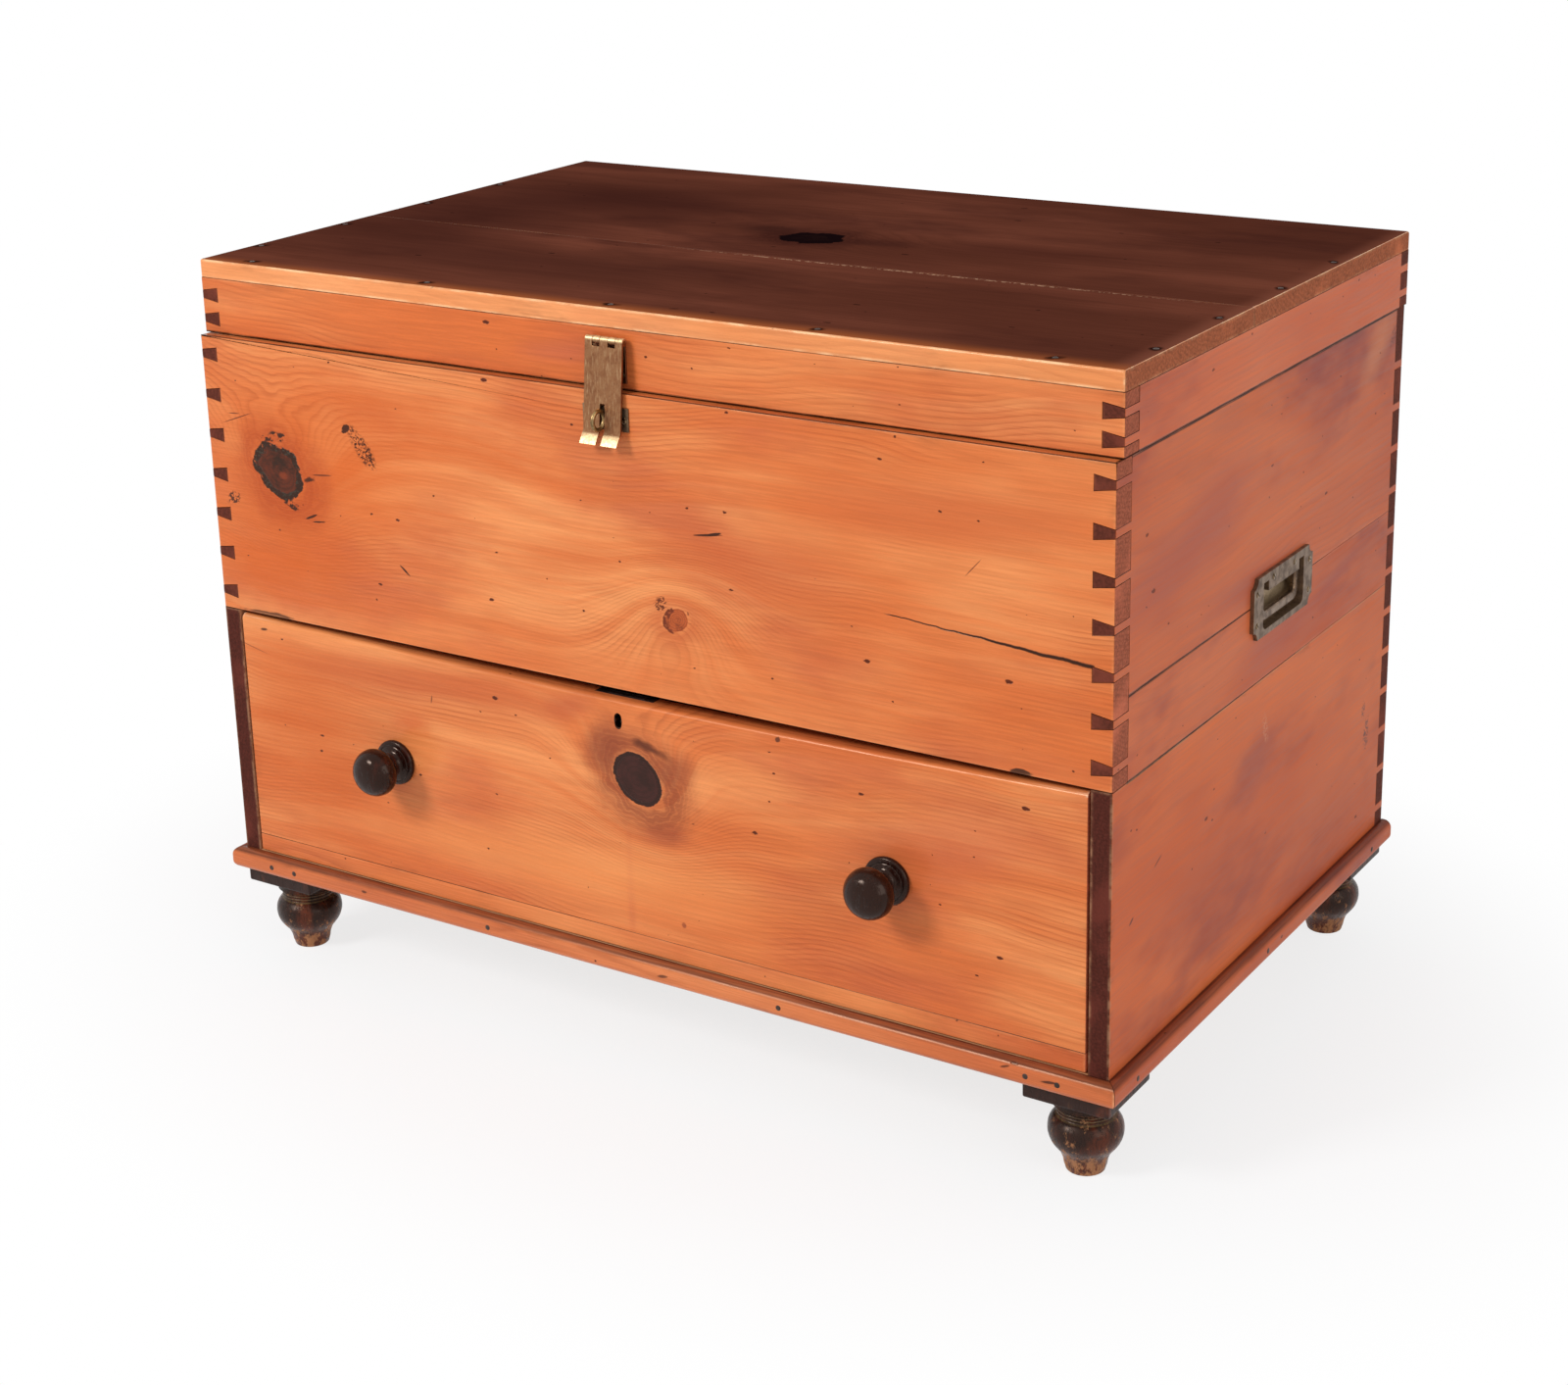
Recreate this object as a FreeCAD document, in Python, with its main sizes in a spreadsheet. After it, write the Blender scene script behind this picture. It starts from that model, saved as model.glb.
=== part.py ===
"""Mule chest: a dovetailed lidded chest with one long drawer under it, on four turned feet.

Frame: X to the right of someone facing the drawer, Y to the back, Z up, in millimetres. The origin is on
the floor, midway between the feet and midway between the knobs and the hinges.
"""
import FreeCAD, Part
import math
import os

import Sketcher

DIMENSIONS = {
    # case
    "front_y": -302,             # front face of the case
    "case_width": 1000,
    "case_depth": 645,
    "side_thick": 20,
    "front_thick": 28,
    "back_thick": 20,
    "front_board_height": 284,
    "drawer_opening": 265,       # base board top to the lower edge of the front board
    "side_seam_drop": 207,       # case top to the seam under the upper side board
    # dovetails: pins are on the side boards, narrow at the outer face
    "pin_narrow": 7.5,
    "pin_wide": 14,
    "front_pin_drop": 18.5,      # case top to the centre of the first pin
    "front_pin_pitch": 41,
    "back_pin_drop": 58,
    "back_pin_pitch": 43,
    # floors
    "base_thick": 23,
    "floor_thick": 12,
    "floor_rise": 2,             # chest floor above the lower edge of the front board
    "cleat_width": 16,
    "cleat_height": 18,
    # feet
    "foot_height": 94,
    "block_side": 84,
    "block_height": 16,
    "toe_radius": 18,
    "toe_rise": 6,
    "shank_radius": 24.5,
    "shank_rise": 20,
    "bulb_arc": 22.5,
    "cove_arc": 40,
    "ring_radius": 26,
    "ring_rise": 56,
    "collar_radius": 31,
    "collar_rise": 66,
    "spigot_radius": 12,
    "spigot_reach": 15,          # into the base board
    # base moulding
    "mould_out": 11,
    "mould_height": 23,
    "mould_nose": 8,
    # lid
    "lid_gap": 1,
    "lid_setback": 10,           # rim front behind the case front
    "lid_overhang": 2,
    "rim_height": 55,
    "rim_front_thick": 26,
    "rim_side_thick": 20,
    "rim_back_thick": 20,
    "rim_pin_low": 14,           # rim bottom to the centre of the lower pin
    "rim_pin_pitch": 24,
    "lid_top_thick": 18,
    "lid_front_board": 255,
    # butt hinges
    "hinge_inset": 170,          # case end to the middle of a hinge
    "hinge_length": 60,
    "hinge_leaf_height": 38,
    "hinge_leaf_thick": 2.5,
    "hinge_barrel": 4.5,
    "hinge_offset": 4.8,         # barrel axis behind the case back
    "hinge_pin": 2.2,
    "hinge_middle": 20,          # length of the middle knuckle
    # hasp and staple
    "hasp_x": -4,
    "hasp_width": 41,
    "hasp_thick": 2.2,
    "hasp_barrel": 3.6,
    "hasp_axis_drop": 28,        # lid top to the hasp pin
    "hasp_leaf_thick": 2,
    "hasp_leaf_width": 36,
    "hasp_leaf_height": 39,
    "hasp_pin": 1.5,
    "hasp_length": 82,           # pin to the bend of the lip
    "hasp_lip_out": 6,
    "hasp_lip_drop": 12,
    "hasp_hang": 6,              # degrees that the strap hangs away from upright
    "hasp_knuckle_x": 8.5,
    "hasp_knuckle": 7.6,
    "hasp_slot": 5.4,
    "hasp_slot_top": 57,         # pin to the top of the slot
    "staple_plate_width": 50,
    "staple_plate_height": 22,
    "staple_plate_thick": 1.4,
    "staple_drop": 24,           # case top to the centre of the staple
    "staple_ring": 8.6,
    "staple_wire": 2.1,
    "staple_root": 2.5,
    "staple_shank": 18,
    # side handles
    "handle_back": 347,          # case front to the centre of the handle
    "handle_drop": 210,          # case top to the centre of the handle
    "handle_width": 137,
    "handle_height": 59,
    "handle_clip": 9,
    "handle_plate": 4,
    "handle_screw_across": 60.5,
    "handle_screw_rise": 15,
    "handle_mid_screw_across": 24.5,
    "handle_mid_screw_rise": 22.5,
    "tray_half": 47,
    "tray_low": 23.5,            # handle centre to the dish's lower and upper edges
    "tray_high": 12,
    "tray_corner": 7,
    "tray_depth": 12,
    "tray_wall": 1.3,
    "ear_width": 3.5,
    "notch_width": 11.5,         # upright slots over the dish, for the ends of the bail
    "notch_top": 22,
    "bail_half": 46,
    "bail_width": 9.5,
    "bail_thick": 6,
    "bail_drop": 36,
    "bail_outer_arc": 14,
    "bail_inner_arc": 6,
    "bail_round": 2.2,
    "bail_eye": 3.3,
    "bail_pin": 2.2,
    "bail_axis_rise": 17,        # handle centre to the bail pivots
    "bail_axis_depth": 3,        # side face to the pivots, inwards
    # drawer
    "drawer_gap": 2.5,
    "drawer_rest": 0.3,          # running gap under the drawer sides
    "drawer_front_thick": 22,
    "drawer_front_rise": 1,      # lower edge of the drawer front above the base board
    "drawer_head_gap": 4,        # drawer front's ends to the front board
    "drawer_front_dip": 7,       # how far the upper edge is hollowed at the middle
    "strip_height": 18.5,
    "drawer_side_thick": 12,
    "drawer_side_drop": 33.5,    # drawer front's ends to the top of the sides
    "drawer_bottom_thick": 8,
    "drawer_bottom_rise": 8,
    "groove_depth": 5,
    "stop_length": 40,
    "stop_width": 25,
    "stop_height": 14,
    # knobs
    "knob_inset": 217.5,         # case end to the knob axis
    "knob_rise": 138,            # base board top to the knob axis
    "knob_plate_radius": 20.5,
    "knob_plate": 5,
    "knob_neck": 10.5,
    "knob_neck_out": 16,
    "knob_radius": 24,
    "knob_widest": 32,
    "knob_cap": 9,
    "knob_out": 50,
    "knob_back_arc": 17,
    "knob_face_arc": 19,
    "knob_spigot": 6,
    "knob_spigot_length": 18,
    # drawer lock
    "lock_x": -6.7,
    "lock_width": 66,
    "lock_height": 56,
    "lock_depth": 11,
    "lock_wall": 2,
    "bolt_width": 44,
    "bolt_thick": 6,
    "bolt_height": 26,
    "bolt_play": 0.3,
    "mortise_width": 60,
    "mortise_thick": 10,
    "mortise_depth": 12,
    "key_drop": 17,              # lowest point of the upper edge to the keyhole's round top
    "key_lobe": 3.7,
    "key_spread": 6.5,
    # fastenings
    "screw_head": 3.1,
    "screw_head_rise": 0.8,
    "screw_radius": 1.6,
    "screw_length": 14,
    "nail_head": 2.8,
    "nail_head_rise": 0.6,
    "nail_radius": 1.3,
    "nail_length": 34,
    "hole_play": 0.15,
    "pin_play": 0.08,
    "part_play": 0.3,
}

FRONT_PINS = 7
BACK_PINS = 12
BACK_BOARD_PINS = 4
RIM_PINS = 2
LID_NAIL_INSETS = {"left": (58, 279), "right": (69, 295)}
LID_MIDDLE_NAIL = -11
LID_NAIL_YS = (87, 213, 346, 472)
MOULD_NAIL_INSETS = (44, 75, 330)
MOULD_NAIL_YS = (35, 320)
MOULD_REAR_INSET = 55

DOC = FreeCAD.newDocument("mule_chest")
X, Y, Z = (FreeCAD.Vector(1, 0, 0), FreeCAD.Vector(0, 1, 0), FreeCAD.Vector(0, 0, 1))
SUB_PARTS = []


class Size:
    """A length held twice: as a formula on the sheet's cells and as the number that it gives."""

    def __init__(self, formula, value):
        self.formula = formula
        self.value = float(value)

    @classmethod
    def of(cls, thing):
        return thing if isinstance(thing, Size) else cls(f"({thing})", thing)

    def __add__(self, other):
        other = Size.of(other)
        return Size(f"({self.formula} + {other.formula})", self.value + other.value)

    def __sub__(self, other):
        other = Size.of(other)
        return Size(f"({self.formula} - {other.formula})", self.value - other.value)

    def __mul__(self, other):
        other = Size.of(other)
        return Size(f"({self.formula} * {other.formula})", self.value * other.value)

    def __truediv__(self, other):
        other = Size.of(other)
        return Size(f"({self.formula} / {other.formula})", self.value / other.value)

    def __neg__(self):
        return Size(f"(-{self.formula})", -self.value)

    __radd__ = __add__
    __rmul__ = __mul__

    def __rsub__(self, other):
        return Size.of(other) - self


class Sheet:
    """The driving dimensions, one cell each, read as attributes."""

    def __init__(self, values):
        self.values = values
        sheet = DOC.addObject("Spreadsheet::Sheet", "dims")
        for row, (name, value) in enumerate(values.items(), start=1):
            sheet.set(f"A{row}", name)
            sheet.set(f"B{row}", str(value))
            sheet.setAlias(f"B{row}", name)

    def __getattr__(self, name):
        return Size(f"dims.{name}", self.values[name])


dim = Sheet(DIMENSIONS)
DOC.recompute()


# ---------------------------------------------------------------- building blocks

def bind(thing, path, size):
    """Ties one property to its formula."""
    thing.setExpression(path, Size.of(size).formula)


def put(thing, at, rotation=None):
    """Places an object: its base point follows the sheet, its turn is fixed."""
    thing.Placement = FreeCAD.Placement(FreeCAD.Vector(), rotation or FreeCAD.Rotation())
    for letter, size in zip("xyz", at):
        bind(thing, f"Placement.Base.{letter}", size)
    return thing


def box(name, low, high):
    """A block between two opposite corners."""
    block = DOC.addObject("Part::Box", name)
    for path, a, b in zip(("Length", "Width", "Height"), low, high):
        bind(block, path, Size.of(b) - a)
    return put(block, low)


def cylinder(name, start, direction, radius, length):
    """A rod from start, length long in the given direction."""
    rod = DOC.addObject("Part::Cylinder", name)
    bind(rod, "Radius", radius)
    bind(rod, "Height", length)
    return put(rod, start, FreeCAD.Rotation(Z, direction))


def cone(name, start, direction, radius, tip_radius, length):
    """A tapered rod from start in the given direction."""
    rod = DOC.addObject("Part::Cone", name)
    bind(rod, "Radius1", radius)
    bind(rod, "Radius2", tip_radius)
    bind(rod, "Height", length)
    return put(rod, start, FreeCAD.Rotation(Z, direction))


def taper(name, near, far, depth, height, at, turn):
    """A block along its own Y whose X span goes from near to far; near and far are (low, high)."""
    wedge = DOC.addObject("Part::Wedge", name)
    sizes = {"Xmin": near[0], "Xmax": near[1], "X2min": far[0], "X2max": far[1], "Ymin": 0,
             "Ymax": depth, "Zmin": height[0], "Zmax": height[1], "Z2min": height[0],
             "Z2max": height[1]}
    for path, size in sizes.items():
        bind(wedge, path, size)
    return put(wedge, at, turn)


def group(name, members):
    """Several solids as one object, each still separate."""
    if len(members) == 1:
        return members[0]
    compound = DOC.addObject("Part::Compound", name)
    compound.Links = members
    return compound


def cut(name, base, tools):
    """The base less every tool."""
    if not tools:
        return base
    less = DOC.addObject("Part::Cut", name)
    less.Base = base
    less.Tool = group(f"{name}_tools", list(tools))
    less.Refine = True
    return less


def fuse(name, members):
    """Several blocks as one solid."""
    if len(members) == 1:
        return members[0]
    whole = DOC.addObject("Part::MultiFuse", name)
    whole.Shapes = members
    whole.Refine = True
    return whole


def sub_part(label, thing):
    """Names a finished piece and lists it for export."""
    thing.Label = label
    SUB_PARTS.append(thing)
    return thing


def origin_plane(body, role):
    """One of the body's own origin planes."""
    return next(f for f in body.Origin.OriginFeatures if f.Role == role)


def arc_through(start, end, radius, side):
    """The shorter arc between two points; side 1 bulges to the right of travel, -1 to the left."""
    chord = end - start
    half = chord.Length / 2
    sagitta = radius - math.sqrt(radius * radius - half * half)
    right = FreeCAD.Vector(chord.y, -chord.x, 0).normalize()
    return Part.Arc(start, (start + end) / 2 + right * sagitta * side, end)


def hold_point(sketch, edge, end, axis, size):
    """Fixes one coordinate of a sketch point, from the sheet."""
    line = {"X": -2, "Y": -1}[axis]
    if abs(size.value) < 1e-9:
        sketch.addConstraint(Sketcher.Constraint("PointOnObject", edge, end, line))
        return
    if size.value > 0:
        held = Sketcher.Constraint(f"Distance{axis}", -1, 1, edge, end, size.value)
    else:
        size = -size
        held = Sketcher.Constraint(f"Distance{axis}", edge, end, -1, 1, size.value)
    sketch.setExpression(f"Constraints[{sketch.addConstraint(held)}]", size.formula)


def outline(body, name, role, corners, arcs=None):
    """A closed outline on one of the body's planes. arcs maps a corner's number to (radius, side) of the
    arc that leaves it."""
    arcs = arcs or {}
    corners = [(Size.of(u), Size.of(v)) for u, v in corners]
    sketch = body.newObject("Sketcher::SketchObject", name)
    sketch.AttachmentSupport = (origin_plane(body, role), "")
    sketch.MapMode = "FlatFace"
    points = [FreeCAD.Vector(u.value, v.value, 0) for u, v in corners]
    ends = []
    for number, start in enumerate(points):
        finish = points[(number + 1) % len(points)]
        if number in arcs:
            radius, side = arcs[number]
            edge = sketch.addGeometry(arc_through(start, finish, radius.value, side))
        else:
            edge = sketch.addGeometry(Part.LineSegment(start, finish))
        first = 1 if (sketch.getPoint(edge, 1) - start).Length < 1e-6 else 2
        ends.append((edge, first, 3 - first))
    for number, (edge, first, last) in enumerate(ends):
        after, after_first, _ = ends[(number + 1) % len(ends)]
        sketch.addConstraint(Sketcher.Constraint("Coincident", edge, last, after, after_first))
        hold_point(sketch, edge, first, "X", corners[number][0])
        hold_point(sketch, edge, first, "Y", corners[number][1])
        if number in arcs:
            radius = arcs[number][0]
            held = sketch.addConstraint(Sketcher.Constraint("Radius", edge, radius.value))
            sketch.setExpression(f"Constraints[{held}]", radius.formula)
    return sketch


def padded(name, role, corners, length, arcs=None, midplane=False, reverse=False):
    """A body made by padding an outline."""
    body = DOC.addObject("PartDesign::Body", name)
    sketch = outline(body, f"{name}_outline", role, corners, arcs)
    pad = body.newObject("PartDesign::Pad", f"{name}_pad")
    pad.Profile = sketch
    pad.Midplane = midplane
    pad.Reversed = reverse
    bind(pad, "Length", length)
    return body


def turned(name, corners, arcs=None):
    """A body turned about its own Z; corners are (radius, height)."""
    body = DOC.addObject("PartDesign::Body", name)
    sketch = outline(body, f"{name}_profile", "XZ_Plane", corners, arcs)
    turning = body.newObject("PartDesign::Revolution", f"{name}_turning")
    turning.Profile = sketch
    turning.ReferenceAxis = (sketch, ["V_Axis"])
    turning.Angle = 360
    return body


# ---------------------------------------------------------------- places that pieces share

front = dim.front_y
rear = front + dim.case_depth
half_width = dim.case_width / 2
inner_x = half_width - dim.side_thick
inner_front = front + dim.front_thick
inner_rear = rear - dim.back_thick
case_bottom = dim.foot_height
base_top = case_bottom + dim.base_thick
front_board_bottom = base_top + dim.drawer_opening
case_top = front_board_bottom + dim.front_board_height
side_seam = case_top - dim.side_seam_drop
floor_bottom = front_board_bottom + dim.floor_rise
lid_bottom = case_top + dim.lid_gap
rim_top = lid_bottom + dim.rim_height
lid_top = rim_top + dim.lid_top_thick
lid_front = front + dim.lid_setback
lid_half = half_width + dim.lid_overhang
rim_inner_x = lid_half - dim.rim_side_thick
foot_inset = dim.block_side / 2
handle_y = front + dim.handle_back
handle_z = case_top - dim.handle_drop
staple_z = case_top - dim.staple_drop
hasp_y = lid_front - dim.hasp_leaf_thick - dim.hasp_barrel - dim.part_play
hasp_z = lid_top - dim.hasp_axis_drop
hinge_y = rear + dim.hinge_offset
hinge_z = case_top + dim.lid_gap / 2
drawer_bottom = base_top + dim.drawer_front_rise
drawer_half = inner_x - dim.drawer_gap
drawer_top = front_board_bottom - dim.drawer_head_gap
drawer_front_height = drawer_top - drawer_bottom
drawer_side_top = drawer_top - dim.drawer_side_drop
drawer_dip_z = drawer_top - dim.drawer_front_dip
drawer_back_y = front + dim.drawer_front_thick
stop_front = inner_rear - dim.stop_width
drawer_rear = stop_front - dim.part_play
hinge_x = half_width - dim.hinge_inset
knob_x = half_width - dim.knob_inset


class Fastening:
    """A headed screw or nail: its seat is the point under the head, out is where the head faces."""

    def __init__(self, name, seat, out, kind):
        self.head = getattr(dim, f"{kind}_head")
        rise = getattr(dim, f"{kind}_head_rise")
        radius = getattr(dim, f"{kind}_radius")
        length = getattr(dim, f"{kind}_length")
        crown = cone(f"{name}_head", seat, out, self.head, self.head * 0.6, rise)
        shank = cylinder(f"{name}_shank", seat, -out, radius, length)
        self.solid = fuse(name, [crown, shank])
        self.hole = cylinder(f"{name}_hole", seat, -out, radius + dim.hole_play,
                             length + dim.hole_play)


def fastenings(name, seats, out, kind):
    """One fastening at each seat."""
    return [Fastening(f"{name}_{number}", seat, out, kind) for number, seat in enumerate(seats, 1)]


def solids(fixings):
    return [fixing.solid for fixing in fixings]


def holes(fixings):
    return [fixing.hole for fixing in fixings]


# ---------------------------------------------------------------- dovetails

def pin(name, hand, corner_x, wood, start_y, depth, height):
    """A dovetail pin on a side board: wide at the inner face, narrow at the outer one. hand is 1 on the
    right and -1 on the left."""
    wedge = DOC.addObject("Part::Wedge", name)
    wide, narrow = dim.pin_wide / 2, dim.pin_narrow / 2
    sizes = {"Xmin": 0, "Xmax": depth, "X2min": 0, "X2max": depth, "Ymin": 0, "Ymax": wood,
             "Zmin": -wide, "Zmax": wide, "Z2min": -narrow, "Z2max": narrow}
    for path, size in sizes.items():
        bind(wedge, path, size)
    at_y = start_y + depth if hand > 0 else start_y
    return put(wedge, (corner_x, at_y, height), FreeCAD.Rotation(Z, -90 * hand))


HANDS = {"left": -1, "right": 1}

front_pin_heights = [case_top - dim.front_pin_drop - dim.front_pin_pitch * n
                     for n in range(FRONT_PINS)]
back_pin_heights = [case_top - dim.back_pin_drop - dim.back_pin_pitch * n for n in range(BACK_PINS)]
rim_pin_heights = [lid_bottom + dim.rim_pin_low + dim.rim_pin_pitch * n for n in range(RIM_PINS)]

front_pins, back_pins, rim_pins = {}, {}, {}
for side, hand in HANDS.items():
    front_pins[side] = [pin(f"front_pin_{side}_{n}", hand, inner_x * hand, dim.side_thick, front,
                            dim.front_thick, height)
                        for n, height in enumerate(front_pin_heights, 1)]
    back_pins[side] = [pin(f"back_pin_{side}_{n}", hand, inner_x * hand, dim.side_thick, inner_rear,
                           dim.back_thick, height)
                       for n, height in enumerate(back_pin_heights, 1)]
    rim_pins[side] = [pin(f"rim_pin_{side}_{end}_{n}", hand, rim_inner_x * hand, dim.rim_side_thick,
                          start, depth, height)
                      for end, start, depth in (("front", lid_front, dim.rim_front_thick),
                                                ("back", rear - dim.rim_back_thick,
                                                 dim.rim_back_thick))
                      for n, height in enumerate(rim_pin_heights, 1)]


def within(pieces, heights, low, high):
    """The pins whose centres lie between two heights."""
    return [piece for piece, height in zip(pieces, heights) if low.value < height.value < high.value]


# ---------------------------------------------------------------- side handles

def handle_place(thing, hand):
    """Puts a handle piece, made at the origin facing +X, on its side of the case."""
    return put(thing, (half_width * hand, handle_y, handle_z),
               FreeCAD.Rotation(Z, 0 if hand > 0 else 180))


def handle_screw_seats(hand):
    """Six seats on the plate of one handle: two at each end and two above the dish."""
    across, rise = dim.handle_screw_across, dim.handle_screw_rise
    between, above = dim.handle_mid_screw_across, dim.handle_mid_screw_rise
    seats = [(-across, -rise), (-across, rise), (across, rise), (across, -rise), (-between, above),
             (between, above)]
    return [((half_width + dim.handle_plate) * hand, handle_y + y, handle_z + z) for y, z in seats]


handle_screws = {side: fastenings(f"handle_screw_{side}", handle_screw_seats(hand), X * hand, "screw")
                 for side, hand in HANDS.items()}


def notches(name, depth, out, grow):
    """Two blocks over the dish's upper corners, each grown on every side."""
    near = dim.tray_half - dim.notch_width - grow
    far = dim.tray_half + grow
    top = dim.notch_top + grow
    return [box(f"{name}_near", (-depth, -far, 0), (out, -near, top)),
            box(f"{name}_far", (-depth, near, 0), (out, far, top))]


def tray_block(name, out, play):
    """The outside of the dish and of the ears beside its pivots, with play all round."""
    grow = dim.tray_wall + play
    depth = dim.tray_depth + grow
    wide = dim.tray_half + dim.ear_width + play
    members = [box(f"{name}_wide", (-depth, -wide, -dim.tray_low - grow),
                   (out, wide, dim.tray_high + grow))]
    near = dim.tray_half - dim.notch_width - grow
    top = dim.notch_top + grow
    members.append(box(f"{name}_ear_near", (-depth, -wide, 0), (out, -near, top)))
    members.append(box(f"{name}_ear_far", (-depth, near, 0), (out, wide, top)))
    return fuse(name, members)


def handle_tray(side, hand):
    """A plate with hollowed corners, a dish let into the side and an ear for each end of the bail."""
    wide, tall, clip = dim.handle_width / 2, dim.handle_height / 2, dim.handle_clip
    corners = [(clip - wide, -tall), (wide - clip, -tall), (wide, clip - tall), (wide, tall - clip),
               (wide - clip, tall), (clip - wide, tall), (-wide, tall - clip), (-wide, clip - tall)]
    plate = padded(f"handle_plate_{side}", "YZ_Plane", corners, dim.handle_plate,
                   arcs={corner: (clip, -1) for corner in (1, 3, 5, 7)})
    half, low, high, turn = dim.tray_half, dim.tray_low, dim.tray_high, dim.tray_corner
    dish = [(turn - half, -low), (half - turn, -low), (half, turn - low), (half, high),
            (-half, high), (-half, turn - low)]
    hollow = padded(f"tray_hollow_{side}", "YZ_Plane", dish, dim.tray_depth + dim.handle_plate + 1,
                    arcs={1: (turn, 1), 5: (turn, 1)})
    put(hollow, (-dim.tray_depth, 0, 0))
    slots = notches(f"tray_notch_{side}", dim.tray_depth, dim.handle_plate + 1, Size.of(0))
    block = tray_block(f"tray_block_{side}", dim.handle_plate / 2, Size.of(0))
    bore = cylinder(f"tray_bore_{side}", (-dim.bail_axis_depth, -half - dim.ear_width - 1,
                                          dim.bail_axis_rise), Y, dim.bail_pin + dim.pin_play,
                    (half + dim.ear_width + 1) * 2)
    blank = fuse(f"tray_blank_{side}", [plate, block])
    bored = handle_place(cut(f"tray_bored_{side}", blank, [hollow, *slots, bore]), hand)
    return sub_part(f"handle_tray_{side}", cut(f"tray_{side}", bored, holes(handle_screws[side])))


def soften(body, pad, radius):
    """Rounds both flat ends of a pad that runs along X."""
    DOC.recompute()
    ends = [f"Face{number}" for number, face in enumerate(pad.Shape.Faces, 1)
            if isinstance(face.Surface, Part.Plane) and abs(face.Surface.Axis.x) > 0.99]
    rounding = body.newObject("PartDesign::Fillet", f"{body.Name}_rounding")
    rounding.Base = (pad, ends)
    bind(rounding, "Radius", radius)


def handle_bail(side, hand):
    """The swinging loop, hanging in its dish from a pin at each end."""
    wide, drop, outer = dim.bail_half, dim.bail_drop, dim.bail_outer_arc
    inner, rise, turn = wide - dim.bail_width, drop - dim.bail_width, dim.bail_inner_arc
    corners = [(-wide, 0), (-wide, outer - drop), (outer - wide, -drop), (wide - outer, -drop),
               (wide, outer - drop), (wide, 0), (inner, 0), (inner, turn - rise),
               (inner - turn, -rise), (turn - inner, -rise), (-inner, turn - rise), (-inner, 0)]
    loop = padded(f"bail_loop_{side}", "YZ_Plane", corners, dim.bail_thick, midplane=True,
                  arcs={1: (outer, 1), 3: (outer, 1), 7: (turn, -1), 9: (turn, -1)})
    soften(loop, loop.Tip, dim.bail_round)
    members = [loop]
    pin_reach = dim.tray_half + dim.ear_width - dim.part_play
    for end, way in (("near", -1), ("far", 1)):
        members.append(cylinder(f"bail_eye_{side}_{end}", (0, inner * way, 0), Y * way, dim.bail_eye,
                                dim.bail_width))
        members.append(cylinder(f"bail_pin_{side}_{end}", (0, inner * way, 0), Y * way, dim.bail_pin,
                                pin_reach - inner))
    hung = put(fuse(f"bail_blank_{side}", members), (-dim.bail_axis_depth, 0, dim.bail_axis_rise))
    placed = DOC.addObject("Part::Compound", f"bail_{side}")
    placed.Links = [hung]
    return sub_part(f"handle_bail_{side}", handle_place(placed, hand))


def tray_recess(side, hand):
    """The hole that the dish needs in the side boards."""
    return handle_place(tray_block(f"tray_recess_{side}", Size.of(1), dim.part_play), hand)


# ---------------------------------------------------------------- fastening places on the case

def hinge_seats(height, outward):
    """Three screw seats on each of the two hinge leaves."""
    spread = dim.hinge_length / 2 - dim.screw_head * 2
    return [(hinge_x * hand + spread * step, outward, height)
            for hand in HANDS.values() for step in (-1, 0, 1)]


leaf_face = rear + dim.hinge_leaf_thick
leaf_screw_reach = dim.hinge_leaf_height - dim.screw_head * 2.5
hinge_case_screws = fastenings("hinge_case_screw",
                               hinge_seats(hinge_z - leaf_screw_reach, leaf_face), Y, "screw")
hinge_lid_screws = fastenings("hinge_lid_screw",
                              hinge_seats(hinge_z + leaf_screw_reach, leaf_face), Y, "screw")
plate_face = front - dim.staple_plate_thick
staple_screw_x = dim.staple_plate_width / 2 - dim.screw_head * 1.5
staple_screws = fastenings("staple_screw", [(dim.hasp_x + staple_screw_x * way, plate_face, staple_z)
                                            for way in (-1, 1)], -Y, "screw")
hasp_leaf_face = lid_front - dim.hasp_leaf_thick
hasp_screw_x = dim.hasp_leaf_width / 2 - dim.screw_head * 1.5
hasp_screws = fastenings("hasp_screw",
                         [(dim.hasp_x + hasp_screw_x * across, hasp_leaf_face,
                           hasp_z - dim.hasp_leaf_height * down)
                          for across in (-1, 1) for down in (0.4, 0.8)], -Y, "screw")
front_nail_xs = [Size.of(LID_MIDDLE_NAIL)] + [(lid_half - inset) * hand
                                              for side, hand in HANDS.items()
                                              for inset in LID_NAIL_INSETS[side]]
lid_nails = fastenings("lid_nail",
                       [(x, lid_front + dim.rim_front_thick / 2, lid_top) for x in front_nail_xs]
                       + [((lid_half - dim.rim_side_thick / 2) * hand, front + y, lid_top)
                          for hand in HANDS.values() for y in LID_NAIL_YS], Z, "nail")
mould_mid = case_bottom + dim.mould_height / 2
front_mould_nails = fastenings("front_mould_nail",
                               [((half_width - inset) * hand, front - dim.mould_out, mould_mid)
                                for hand in HANDS.values() for inset in MOULD_NAIL_INSETS],
                               -Y, "nail")
mould_nail_ys = [front + y for y in MOULD_NAIL_YS] + [rear - MOULD_REAR_INSET]
side_mould_nails = {side: fastenings(f"mould_nail_{side}",
                                     [((half_width + dim.mould_out) * hand, y, mould_mid)
                                      for y in mould_nail_ys], X * hand, "nail")
                    for side, hand in HANDS.items()}
staple_hole = cylinder("staple_hole", (dim.hasp_x, plate_face - 1, staple_z), Y,
                       dim.staple_root + dim.hole_play, dim.staple_shank + 1 + dim.hole_play)
lock_y = drawer_back_y - dim.lock_depth / 2
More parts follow.
